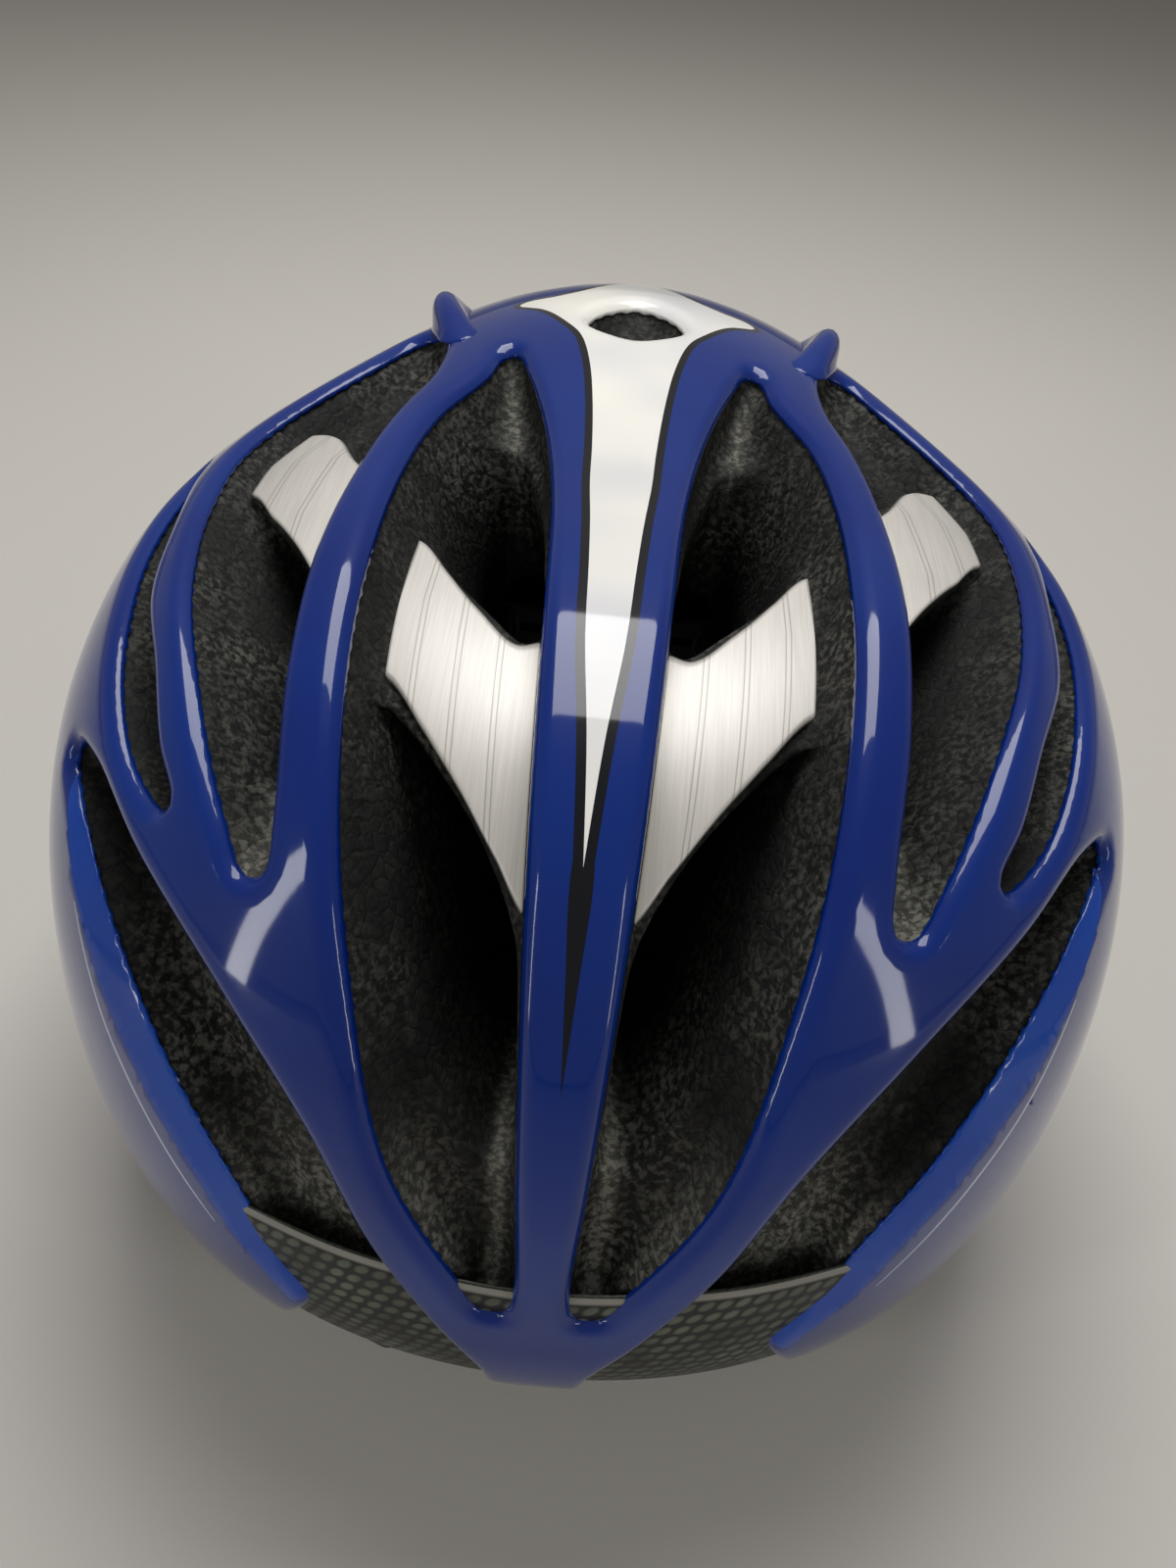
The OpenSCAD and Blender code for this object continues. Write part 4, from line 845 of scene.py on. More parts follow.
def bridge_saddle(vent, bridge, points):
    """Foam floor that carries a bridge's plate and falls away in front of it and behind it."""
    walls = vent_walls(vent, points[:, 1])
    across = np.clip((points[:, 0] - walls[0]) / (walls[1] - walls[0]), 0, 1)
    edges = bridge_edges(bridge, across)
    beyond = np.maximum(0, np.maximum(edges[:, 0] - points[:, 1], points[:, 1] - edges[:, 1]))
    return film_depth(vent, across) + SEAT + SEAT_FALL * beyond


print("walls of the inner vent at its middle:", [round(float(w), 1) for w in vent_walls(INNER_VENT, -38)])

# %% Channels and the foam's whole depth
def stations(vent, points):
    """How far along the vent each point lies, counted in its outline's pairs."""
    x = np.linspace(0, len(vent) - 1, 16 * len(vent))
    right = smooth_list([pair[0] for pair in vent], x)
    left = smooth_list([pair[1] for pair in vent], x)
    rungs = np.vstack([right + (left - right) * j / (RUNGS - 1) for j in range(RUNGS)])
    tree = point_tree([(*p, 0) for p in rungs])
    return np.array([x[tree.find((*p, 0))[1] % len(x)] for p in points])


def trough_depth(vent, depth, front_ramp, rear_ramp, points, lip):
    """Floor of a channel: full depth in the middle, a ramp at each end and round walls."""
    x = stations(vent, points)
    last = len(vent) - 1
    ramp = np.clip(np.minimum(x / front_ramp, (last - x) / rear_ramp), 0, 1)
    floor_depth = lip + (depth - lip) * np.sin(ramp * math.pi / 2) ** 0.8
    away = gap_finder([vent_loop(vent)])(at_surface(points))
    t = np.clip(away / WALL_RUN, 0, 1)
    return lip + (floor_depth - lip) * np.sqrt(1 - (1 - t) ** 2)


def foam_depth(uv):
    """Depth of the foam's outer skin: under the sheet, in the channels and round the passages."""
    solid = at_surface(uv)
    gap = vent_gap(solid)
    rho, phi = angles(uv)
    depth = COVER + np.maximum(roll(gap), facet_depth(uv))
    bare = in_any(FRONT_LOOPS, uv)
    depth[bare] = BARE + roll(gap[bare])
    depth = np.where(rho > band_angle(np.full(len(phi), 0.995), phi), np.maximum(depth, UNDER_LOWER), depth)
    folded = np.stack([np.abs(uv[:, 0]), uv[:, 1]], -1)
    for vent, deep, front_ramp, rear_ramp in TROUGHS:
        within = inside(vent_loop(vent), folded)
        lip = np.maximum(depth[within], LIP)
        depth[within] = trough_depth(vent, deep, front_ramp, rear_ramp, folded[within], lip)
        if vent is OUTER_VENT:
            saddle = bridge_saddle(vent, OUTER_BRIDGE, folded[within])
            depth[within] = np.minimum(depth[within], np.maximum(saddle, lip))
    within = inside(vent_loop(EYE_VENT), uv)
    depth[within] = trough_depth(EYE_VENT, EYE_DEEP, 1.5, 1.5, uv[within], LIP)
    return depth + roll(hole_gap(solid), HOLE_ROLL)


print("channels:", 2 * len(TROUGHS) + 1)

# %% Outer and inner skins of the foam
RIM = rim_loop(2.0, 400)
WALL_LOOPS = [loop for vent, *_ in TROUGHS for loop in both_sides(vent_loop(vent))] + [vent_loop(EYE_VENT)]
wall_gap = gap_finder(WALL_LOOPS)
rim_gap = gap_finder([RIM])


def keep_foam(points):
    return inside(RIM, points) & ~in_any(PASSAGE_LOOPS, points)


grid = hex_grid(1.35)
grid = grid[inside(RIM, grid)]
grid_mm = at_surface(grid)
grid = grid[(wall_gap(grid_mm) > 3.4) & (rim_gap(grid_mm) > 1.2) & (hole_gap(grid_mm) > 1.3)]
out_rows = rows_beside(WALL_LOOPS, ROLL_OFFSETS[1:4], True, wall_gap)
in_rows = rows_beside(WALL_LOOPS, [0.25, 0.8, 1.6, 2.6], False, wall_gap)
hole_rows = rows_beside(PASSAGE_LOOPS, [0.5, 1.4], True, hole_gap)
beside = np.vstack([out_rows, in_rows])
beside = beside[hole_gap(at_surface(beside)) > 1.0]
top_edge = rim_loop(0.99, 400)
bottom_edge = rim_loop(1.005, 400)
near = np.vstack([grid, beside, hole_rows])
near = near[inside(RIM, near) & ~in_any(PASSAGE_LOOPS, near)]
foam_uv, foam_faces = triangulate([RIM] + PASSAGE_LOOPS, WALL_LOOPS + [top_edge, bottom_edge], near,
                                  keep_foam)

# The front passages lean, so that air runs back over the head: their inner mouths lie nearer the crown.
LEAN = [1.0, 0.86]
LEANING = 2 * len(FRONT_PASSAGES)
INNER_MOUTHS = [loop * LEAN for loop in PASSAGE_LOOPS[:LEANING]] + PASSAGE_LOOPS[LEANING:]
mouth_gap = gap_finder(INNER_MOUTHS)


def keep_lining(points):
    return inside(RIM, points) & ~in_any(INNER_MOUTHS, points)


inner_grid = hex_grid(2.4)
inner_grid = inner_grid[inside(RIM, inner_grid) & ~in_any(INNER_MOUTHS, inner_grid)]
inner_mm = at_surface(inner_grid)
inner_grid = inner_grid[(rim_gap(inner_mm) > 2) & (mouth_gap(inner_mm) > 1.5)]
lining_uv, lining_faces = triangulate([RIM] + INNER_MOUTHS, [], inner_grid, keep_lining)
print("foam outside:", len(foam_faces), "inside:", len(lining_faces))

# %% Rim and walls that close the foam
rho, phi = angles(foam_uv)
outer_points = on_shell(foam_uv, foam_depth(foam_uv))
count = len(RIM)
rim_level = height_round(RIM_Z, phi[:count])
outer_points[:count, 2] = rim_level + 0.9
rho, phi = angles(lining_uv)
inner_points = CENTRE + direction(rho, phi) * head_distance(rho, phi)[:, None]
in_side, out_side = inner_points[:count, :2], outer_points[:count, :2]
RIM_SECTION = [(0.0, 2.6), (0.015, 1.1), (0.06, 0.25), (0.16, 0.0), (0.88, 0.0), (0.97, 0.25)]
band = []
for share, rise in RIM_SECTION:
    flat = in_side + (out_side - in_side) * share
    band.append(np.column_stack([flat, np.minimum(rim_level + rise, inner_points[:count, 2])]))
points = np.vstack([outer_points, inner_points] + band)
faces = foam_faces.tolist() + (lining_faces[:, ::-1] + len(outer_points)).tolist()
once = np.arange(count)
first = len(outer_points) + len(inner_points)
chain = [once + len(outer_points)] + [once + first + k * count for k in range(len(band))] + [once]
for a, b in zip(chain, chain[1:]):
    faces += [(a[i], a[(i + 1) % count], b[(i + 1) % count], b[i]) for i in range(count)]
start = count
for loop in PASSAGE_LOOPS:
    n = len(loop)
    top, low = start + np.arange(n), start + np.arange(n) + len(outer_points)
    faces += [(top[i], low[i], low[(i + 1) % n], top[(i + 1) % n]) for i in range(n)]
    start += n
foam = build("moulded_foam_liner", points, [[int(v) for v in f] for f in faces], FOAM, "helmet", "foam")
print("points round the rim:", count, "rings of the rim:", len(band))

# %% Scuffs and painted light on the foam
def scuff_and_light_amount(uv):
    """How much lighter the foam is painted: most at the brow, and along a ridge at each channel's front end;
    partly scuffing, partly painted light where these face the light.
    """
    u, v = np.abs(uv[:, 0]), uv[:, 1]
    brow = np.clip((-66 - v) / 26, 0, 1) * np.clip((u - 9) / 6, 0, 1)
    ridge = np.exp(-((u - 6.6) / 1.1) ** 2) * np.clip((-66 - v) / 4, 0, 1) * np.clip((v + 92) / 4, 0, 1)
    tail = np.exp(-((u - 14.2) / 1.0) ** 2) * np.clip((v - 12) / 3, 0, 1) * np.clip((24 - v) / 3, 0, 1)
    outer = np.exp(-((u - 28.6) / 1.4) ** 2) * np.clip((-34 - v) / 5, 0, 1) * np.clip((v + 50) / 3, 0, 1)
    return np.clip(0.85 * brow + ridge + 0.6 * tail + 0.8 * outer, 0, 1)


# The stored amount is partly scuffing and partly painted light where the foam faces the light.
scuff_and_light_layer = foam.data.attributes.new("worn", "FLOAT", "POINT")
scuff_and_light_layer.data.foreach_set("value", np.concatenate([scuff_and_light_amount(foam_uv), np.zeros(len(points) - len(foam_uv))]))
point_out(foam.data)
settle(foam, ["eps_liner"])

# %% [markdown]
# ## The lower shell
# Round the rim the foam is wrapped in a second, darker sheet with a woven look. Its
# pattern is printed: rows of small rounded cells, every other row set half a cell
# along. The sheet is swept round the rim as one closed profile, and its own map
# carries millimetres, so that the print keeps its size all the way round.

# %% Woven-look print
CELL_ALONG, CELL_DOWN = 3.2, 2.1    # millimetres from cell to cell


def woven_print():
    """Printed sheet: near-black ground with dull grey-green cells, under a satin clear coat."""
    material, tree, shader = new_material("woven print under clear coat")
    where = node(tree, "ShaderNodeUVMap", uv_map="sheet_mm")
    parts = node(tree, "ShaderNodeSeparateXYZ", [("Vector", where.outputs["UV"])])
    down = node(tree, "ShaderNodeMath", [(0, parts.outputs["Y"])], operation="DIVIDE", in_1=CELL_DOWN)
    along = node(tree, "ShaderNodeMath", [(0, parts.outputs["X"])], operation="DIVIDE", in_1=CELL_ALONG)
    lean = node(tree, "ShaderNodeMath", [(0, down.outputs[0]), (2, along.outputs[0])],
                operation="MULTIPLY_ADD", in_1=0.5)
    lattice = node(tree, "ShaderNodeCombineXYZ", [("X", lean.outputs[0]), ("Y", down.outputs[0])])
    dots = node(tree, "ShaderNodeTexVoronoi", [("Vector", lattice.outputs[0])], voronoi_dimensions="2D",
                feature="F1", in_Scale=1.0, in_Randomness=0.0)
    shape = node(tree, "ShaderNodeValToRGB", [("Fac", dots.outputs["Distance"])],
                 ramp=[(0.26, "#545a4c"), (0.44, "#090a0a")])
    cloud = node(tree, "ShaderNodeTexNoise", [("Vector", where.outputs["UV"])], in_Scale=0.09,
                 in_Detail=2.0)
    shade = node(tree, "ShaderNodeValToRGB", [("Fac", cloud.outputs["Fac"])],
                 ramp=[(0.35, "#8a8a8a"), (0.65, "#ffffff")])
    tint = node(tree, "ShaderNodeMix", [(6, shape.outputs["Color"]), (7, shade.outputs["Color"])],
                data_type="RGBA", blend_type="MULTIPLY", in_0=1.0)
    lip = node(tree, "ShaderNodeMapRange", [("Value", parts.outputs["Y"])], in_From_Min=0.7, in_From_Max=1.2)
    edged = node(tree, "ShaderNodeMix", [(0, lip.outputs["Result"]), (7, tint.outputs[2])],
                 data_type="RGBA", in_6=srgb("#7c7b73"))
    bump = node(tree, "ShaderNodeBump", [("Height", dots.outputs["Distance"])], in_Strength=0.2,
                in_Distance=0.0003, invert=True)
    set_up(tree, shader, [("Base Color", edged.outputs[2]), ("Normal", bump.outputs["Normal"])],
           in_Roughness=0.5, in_Specular_IOR_Level=0.2, in_Coat_Weight=0.22, in_Coat_Roughness=0.2)
    return material


WOVEN_PRINT = woven_print()
print("material:", WOVEN_PRINT.name)

# %% Lower shell profile
LOWER_OUT, LOWER_IN = 1.85, 3.25    # depths of the sheet's outer and inner face
AROUND = 300
FULL_RING = 8                       # the profile's point whose ring is measured for the print
ats = np.linspace(1.03, 1.985, 15)
profile = [(1.02, 2.2)] + [(a, LOWER_OUT) for a in ats]
profile += [(1.997, 2.05), (2.0, 2.5), (2.0, 2.95), (1.99, LOWER_IN)]
profile += [(a, LOWER_IN) for a in ats[::-1][1:]] + [(1.02, 2.9), (1.012, 2.55)]
turn = -math.pi + 2 * math.pi * np.arange(AROUND) / AROUND
rings = []
for at, depth in profile:
    angle = band_angle(at, turn)
    ring = CENTRE + direction(angle, turn) * (envelope(angle, turn) - depth)[:, None]
    rim_z = height_round(RIM_Z, turn)
    ring[:, 2] = rim_z + 0.02 if at >= 2.0 else np.maximum(ring[:, 2], rim_z + (2.0 - at) * 4)
    rings.append(ring)
rings = np.array(rings)
faces, corners = [], []
walk = np.linalg.norm(np.diff(np.vstack([rings[FULL_RING], rings[FULL_RING][:1]]), axis=0), axis=1)
round_mm = np.concatenate([[0], np.cumsum(walk)])
climb = np.linalg.norm(np.diff(rings, axis=0), axis=2).mean(1)
height_mm = np.concatenate([[0], np.cumsum(climb), [0]])
for j in range(len(profile)):
    for i in range(AROUND):
        a, b = j * AROUND + i, j * AROUND + (i + 1) % AROUND
        c = ((j + 1) % len(profile)) * AROUND
        faces.append((a, b, c + (i + 1) % AROUND, c + i))
        corners += [(round_mm[i], height_mm[j]), (round_mm[i + 1], height_mm[j]),
                    (round_mm[i + 1], height_mm[j + 1]), (round_mm[i], height_mm[j + 1])]
lower_shell = build("woven_lower_shell", rings.reshape(-1, 3), faces, WOVEN_PRINT, "helmet", "woven_shell")
sheet_map = lower_shell.data.uv_layers.new(name="sheet_mm")
sheet_map.data.foreach_set("uv", np.array(corners).ravel())
point_out(lower_shell.data)
settle(lower_shell, ["lower_shell"])

# %% [markdown]
# ## The bright bridges
# Two bands cross the channels on each side. They are thin pressed plates in a satin
# silver film, with fine scored lines from front to back and a darker cut edge. Each
# is a close grid of points between a front and a rear line, rounded at its borders.

# %% Satin film
PAIR_PITCH, PAIR_GAP, LINE_HALF = 9.2, 1.2, 0.26    # millimetres on the flat film


def satin_film():
    """Silver film over plastic: bright flake, brushed front to back, scored in pairs of fine lines."""
    material, tree, shader = new_material("satin silver film")
    where = node(tree, "ShaderNodeTexCoord").outputs["Object"]
    comb = node(tree, "ShaderNodeMapping", [("Vector", where)],
                in_Scale=(per_mm(0.35), per_mm(14), per_mm(14)))
    streak = node(tree, "ShaderNodeTexNoise", [("Vector", comb.outputs["Vector"])], in_Scale=1.0,
                  in_Detail=2.0)
    tone = node(tree, "ShaderNodeValToRGB", [("Fac", streak.outputs["Fac"])],
                ramp=[(0.3, "#bebab3"), (0.7, "#c9c5be")])
    across = node(tree, "ShaderNodeUVMap", uv_map="film_mm")
    parts = node(tree, "ShaderNodeSeparateXYZ", [("Vector", across.outputs["UV"])])
    wave = node(tree, "ShaderNodeMath", [(0, parts.outputs["X"])], operation="PINGPONG",
                in_1=PAIR_PITCH / 2)
    apart = node(tree, "ShaderNodeMath", [(0, wave.outputs[0])], operation="SUBTRACT", in_1=PAIR_GAP / 2)
    nearest = node(tree, "ShaderNodeMath", [(0, apart.outputs[0])], operation="ABSOLUTE")
    line = node(tree, "ShaderNodeMapRange", [("Value", nearest.outputs[0])], in_From_Max=LINE_HALF)
    scored = node(tree, "ShaderNodeMix", [(0, line.outputs["Result"]), (7, tone.outputs["Color"])],
                  data_type="RGBA", in_6=srgb("#97938c"))
    rim = node(tree, "ShaderNodeAttribute", attribute_name="cut", attribute_type="GEOMETRY")
    final = node(tree, "ShaderNodeMix", [(0, rim.outputs["Fac"]), (6, scored.outputs[2])],
                 data_type="RGBA", in_7=srgb("#17181a"))
    metal = node(tree, "ShaderNodeMath", [(1, rim.outputs["Fac"])], operation="SUBTRACT", in_0=0.3,
                 use_clamp=True)
    height = node(tree, "ShaderNodeMath", [(0, streak.outputs["Fac"]), (2, line.outputs["Result"])],
                  operation="MULTIPLY_ADD", in_1=0.15)
    bump = node(tree, "ShaderNodeBump", [("Height", height.outputs[0])], in_Strength=0.06,
                in_Distance=0.0002)
    set_up(tree, shader, [("Base Color", final.outputs[2]), ("Metallic", metal.outputs[0]),
                          ("Normal", bump.outputs["Normal"])],
           in_Roughness=0.48, in_Coat_Weight=0.2, in_Coat_Roughness=0.3)
    return material


FILM = satin_film()
print("material:", FILM.name)


# %% Bridge plates
def bridge_point(vent, bridge, across, along):
    """Map points on a bridge: across from 0 to 1 between the channel's walls, along from front to rear."""
    edges = bridge_edges(bridge, across)
    v = edges[:, 0] + (edges[:, 1] - edges[:, 0]) * along
    walls = vent_walls(vent, v)
    right, left = walls[0] + WALL_MARGIN, walls[1] - WALL_MARGIN
    return np.stack([right + (left - right) * across, v], -1)


FILM_WIDE, FILM_LONG = 34, 40                      # the flat film's map
FILM_SPAN, FILM_ROLL, CUT_EDGE = 24, 0.9, 0.5      # length of a plate, radius and width of its edge


def bridge_plate(place, side_name, side_sign, vent, bridge, rows=40, cols=52):
    """A thin plate between the channel's walls, with its front and rear edges rolled down."""
    across = np.tile(np.linspace(0, 1, cols), rows)
    along = np.repeat(np.linspace(0, 1, rows), cols)
    uv = bridge_point(vent, bridge, across, along)
    near = np.minimum(along, 1 - along) * FILM_SPAN
    depth = film_depth(vent, across)
    top = on_shell(uv, depth + roll(near, FILM_ROLL))
    under = on_shell(uv, depth + FILM_T)
    plate = build(f"bright_plate_{place}_{side_name}", np.vstack([top, under]) * [side_sign, 1, 1],
                  slab_faces(rows, cols), FILM, "helmet", "silver_skin")
    lay_map(plate, "film_mm", np.tile(np.column_stack([across * FILM_WIDE, along * FILM_LONG]), (2, 1)))
    cut = plate.data.attributes.new("cut", "FLOAT", "POINT")
    rim_share = np.clip(1.35 - near / CUT_EDGE, 0, 1)
    cut.data.foreach_set("value", np.concatenate([rim_share, np.ones(rows * cols)]))
    point_out(plate.data)
    settle(plate, [f"bridge_skin_{place}_{side_name}"])


for side_name, side_sign in (("left", 1), ("right", -1)):
    bridge_plate("inner", side_name, side_sign, INNER_VENT, INNER_BRIDGE)
    bridge_plate("outer", side_name, side_sign, OUTER_VENT, OUTER_BRIDGE)

# %% [markdown]
# ## The trailing fins
# Behind the crown the two outer ribs rise into small rounded fins. Each is swept
# along a short line on the shell: rings of points whose height swells and sinks
# again, so that the fin grows out of the sheet without a visible step.

# %% Fins
FIN_UV = [[19.6, 26], [20, 28], [20.9, 31], [21.6, 34], [21.8, 37], [21.6, 40.5], [21.4, 42.5]]
FIN_HEIGHT = [0.0, 1.6, 4.6, 6.6, 6.0, 2.4, 0.0]
FIN_HALF, FIN_ROOT = 3.6, 0.9    # half its width, and how far it reaches into the sheet


def fin(name, side_sign, steps=40, round_steps=20):
    """Rings of points along the fin's line, each an arch over a shallow root."""
    x = np.linspace(0, len(FIN_UV) - 1, steps)
    line = smooth_list(FIN_UV, x)
    height = np.maximum(0, smooth_list(FIN_HEIGHT, x))
    half = FIN_HALF * np.clip(np.minimum(x, len(FIN_UV) - 1 - x) / 1.0, 0.02, 1) ** 0.6
    foot = on_shell(line, np.zeros(steps))
    out = on_shell(line, -np.ones(steps)) - foot
    out /= np.linalg.norm(out, axis=1, keepdims=True)
    along = np.gradient(foot, axis=0)
    across = np.cross(out, along)
    across /= np.linalg.norm(across, axis=1, keepdims=True)
    rings = []
    for k in range(round_steps):
        a = 2 * math.pi * k / round_steps
        up = math.sin(a)
        rise = up ** 0.8 * (height + 0.25) if up > 0 else up * np.full(steps, FIN_ROOT)
        flare = half * math.cos(a) * (1 + 0.5 * max(0, 0.35 - up))
        rings.append(foot + across * flare[:, None] + out * rise[:, None])
    rings = np.array(rings).transpose(1, 0, 2) * [side_sign, 1, 1]
    faces = [(i * round_steps + k, i * round_steps + (k + 1) % round_steps,
              (i + 1) * round_steps + (k + 1) % round_steps, (i + 1) * round_steps + k)
             for i in range(steps - 1) for k in range(round_steps)]
    faces += [tuple(range(round_steps)), tuple((steps - 1) * round_steps + k for k in range(round_steps))]
    piece = build(name, rings.reshape(-1, 3), faces, PAINT, "helmet", "blue_shell")
    shade = piece.data.attributes.new("paint", "FLOAT", "FACE")
    shade.data.foreach_set("value", np.full(len(piece.data.polygons), BLUE))
    point_out(piece.data)
    settle(piece)


fin("trailing_fin_left", 1)
fin("trailing_fin_right", -1)

# %% [markdown]
# ## Pads
# The comfort pads are thin foam laminated to a knitted cloth, pressed together along
# their borders and along sewn-looking channels. They are modelled as crowned
# closed forms: a welded lip, a full middle, and shallow grooves, because a simulated
# swelling would wash out the welded lines on pads that are only 6 mm thick.

# %% Knitted cloth
def knitted_cloth():
    """Brushed polyester knit: near-black, fine ribs about 1 mm apart, a soft sheen at grazing angles."""
    material, tree, shader = new_material("knitted pad cloth")
    cloth = node(tree, "ShaderNodeUVMap", uv_map="cloth_mm").outputs["UV"]
    rib = node(tree, "ShaderNodeTexWave", [("Vector", cloth)], bands_direction="X", in_Scale=0.32,
               in_Distortion=1.2, in_Detail=1.0)
    row = node(tree, "ShaderNodeTexWave", [("Vector", cloth)], bands_direction="Y", in_Scale=0.42,
               in_Distortion=1.0)
    knit = node(tree, "ShaderNodeMath", [(0, rib.outputs["Fac"]), (1, row.outputs["Fac"])],
                operation="MULTIPLY")
    fuzz = node(tree, "ShaderNodeTexNoise", [("Vector", cloth)], in_Scale=1.8, in_Detail=3.0)
    tone = node(tree, "ShaderNodeValToRGB", [("Fac", fuzz.outputs["Fac"])],
                ramp=[(0.3, "#19191b"), (0.7, "#2c2c2f")])
    shade = node(tree, "ShaderNodeValToRGB", [("Fac", knit.outputs[0])],
                 ramp=[(0.0, "#8c8c8c"), (0.5, "#ffffff")])
    colour = node(tree, "ShaderNodeMix", [(6, tone.outputs["Color"]), (7, shade.outputs["Color"])],
                  data_type="RGBA", blend_type="MULTIPLY", in_0=1.0)
    bump = node(tree, "ShaderNodeBump", [("Height", knit.outputs[0])], in_Strength=0.6, in_Distance=0.0003)
    set_up(tree, shader, [("Base Color", colour.outputs[2]), ("Normal", bump.outputs["Normal"])],
           in_Roughness=0.92, in_Sheen_Weight=0.35, in_Sheen_Roughness=0.45)
    return material


CLOTH = knitted_cloth()
PAD_GAP, PAD_T = 0.6, 6.0         # from the foam, and full thickness
WELD_T, WELD_RUN = 1.3, 0.34      # pressed border, and how much of the pad it takes to fill out
SEAM_DEEP, SEAM_U, SEAM_V = 0.5, 0.018, 0.05
CORNER = 0.25                     # how much the sides draw in at the corners
print("material:", CLOTH.name)


# %% Pad forms
def on_head(uv, inwards):
    """Point on the head space's wall, moved inwards."""
    tilt_angle = np.radians(np.hypot(uv[:, 0], uv[:, 1]))
    phi = np.arctan2(uv[:, 0], -uv[:, 1])
    return np.stack([(HEAD_WIDTH - inwards) * np.sin(tilt_angle) * np.sin(phi),
                     -(HEAD_LENGTH - inwards) * np.sin(tilt_angle) * np.cos(phi),
                     HEAD_FOOT + (HEAD_TOP - HEAD_FOOT - inwards) * np.cos(tilt_angle)], -1)


def middle_and_half(ends):
    return sum(ends) / 2, (ends[1] - ends[0]) / 2


def pad(name, replaced, u_range, v_range, side_sign, seams_u, seams_v, rows=40, cols=64):
    """A crowned pad over a patch of the head space, with pressed lines at the given shares."""
    across, along = (a.ravel() for a in np.meshgrid(np.linspace(0, 1, cols), np.linspace(0, 1, rows)))
    wide, tall = 2 * across - 1, 2 * along - 1
    (mid_u, half_u), (mid_v, half_v) = middle_and_half(u_range), middle_and_half(v_range)
    u = mid_u + half_u * wide * np.sqrt(1 - CORNER * tall ** 6)
    v = mid_v + half_v * tall * np.sqrt(1 - CORNER * wide ** 6)
    uv = np.stack([u, v], -1)
    border = np.minimum(np.minimum(across, 1 - across) * 2.4, np.minimum(along, 1 - along))
    swell = np.clip(border / WELD_RUN, 0, 1)
    crown = 1.0 + (PAD_T - WELD_T) * (1 - (1 - swell) ** 2) ** 0.8
    for share in seams_u:
        crown *= 1 - SEAM_DEEP * np.exp(-((across - share) / SEAM_U) ** 2) * swell
    for share in seams_v:
        crown *= 1 - SEAM_DEEP * np.exp(-((along - share) / SEAM_V) ** 2) * swell
    face = on_head(uv, PAD_GAP + crown)
    back = on_head(uv, np.full(len(uv), PAD_GAP + 0.1))
    piece = build(name, np.vstack([face, back]) * [side_sign, 1, 1], slab_faces(rows, cols), CLOTH,
                  "helmet", "pad_cloth")
    width, height = np.radians(2 * abs(half_u)) * 95, np.radians(2 * abs(half_v)) * 100
    lay_map(piece, "cloth_mm", np.tile(np.column_stack([across * width, along * height]), (2, 1)))
    point_out(piece.data)
    settle(piece, [replaced])


pad("brow_pad", "front_pad", (-34, 34), (-80, -68), 1, (0.2, 0.4, 0.6, 0.8), (), rows=30, cols=120)
for side_name, side_sign in (("left", 1), ("right", -1)):
    pad("crown_cushion_" + side_name, "crown_pad_" + side_name, (30, 39), (-35, 15), side_sign,
        (), (0.25, 0.5, 0.75))
    pad("side_cushion_" + side_name, "side_pad_" + side_name, (66, 82), (-14, 18), side_sign,
        (0.5,), (0.5,))


# %% Round pads on the cradle's wings
WING_X, WING_RADIUS = 34, 90.4    # where a cushion sits on the cradle's arc
CUSHION_R = 7.5
CUSHION_SECTION = [(0.0, 3.2), (0.25, 3.15), (0.5, 2.95), (0.62, 2.65), (0.68, 2.2), (0.74, 2.6), (0.84, 2.3),
                   (0.93, 1.6), (0.99, 0.8), (1.0, 0.2), (0.9, 0.0), (0.0, 0.0)]


def cradle_cushion(side_name, side_sign, spokes=48):
    """A round cushion turned from its section, facing the nape, over the node that it stands for."""
    low, high = (np.array(c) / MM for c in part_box("cradle_pad_" + side_name))
    node_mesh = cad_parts["cradle_pad_" + side_name].data
    co = np.array([v.co for v in node_mesh.vertices]) / MM
    centre = (low + high) / 2
    lean = math.asin(WING_X / WING_RADIUS)
    axis = np.array([-side_sign * math.sin(lean), -math.cos(lean), 0.0])
    back = ((co - centre) @ axis).min()
    sideways, up = np.cross([0, 0, 1.0], axis), np.array([0, 0, 1.0])
    points, faces = [], []
    for share, rise in CUSHION_SECTION:
        for k in range(spokes):
            a = 2 * math.pi * k / spokes
            spoke = (sideways * math.cos(a) + up * math.sin(a)) * CUSHION_R * share
            points.append(centre + axis * (back + rise) + spoke)
    for r in range(len(CUSHION_SECTION) - 1):
        for k in range(spokes):
            a, b = r * spokes + k, r * spokes + (k + 1) % spokes
            faces.append((a, b, b + spokes, a + spokes))
    piece = build("cradle_cushion_" + side_name, points, faces, CLOTH, "cradle_body", "pad_cloth")
    lay_map(piece, "cloth_mm", np.array([((p - centre) @ sideways, p[2] - centre[2]) for p in points]))
    point_out(piece.data)
    settle(piece, ["cradle_pad_" + side_name])


cradle_cushion("left", 1)
cradle_cushion("right", -1)

# %% [markdown]
# ## Webbing
# The harness is flat woven polyester. Each strap has one path, and Geometry Nodes
# sweep a thin rounded rectangle along it with its width kept level, as a strap lies.
# The same tree stores how far along and how far across each point is, and the
# material weaves its threads in those coordinates, so that they follow every bend.

# %% Woven polyester
WAVE_PERIOD = 0.315    # a wave texture's period at scale 1


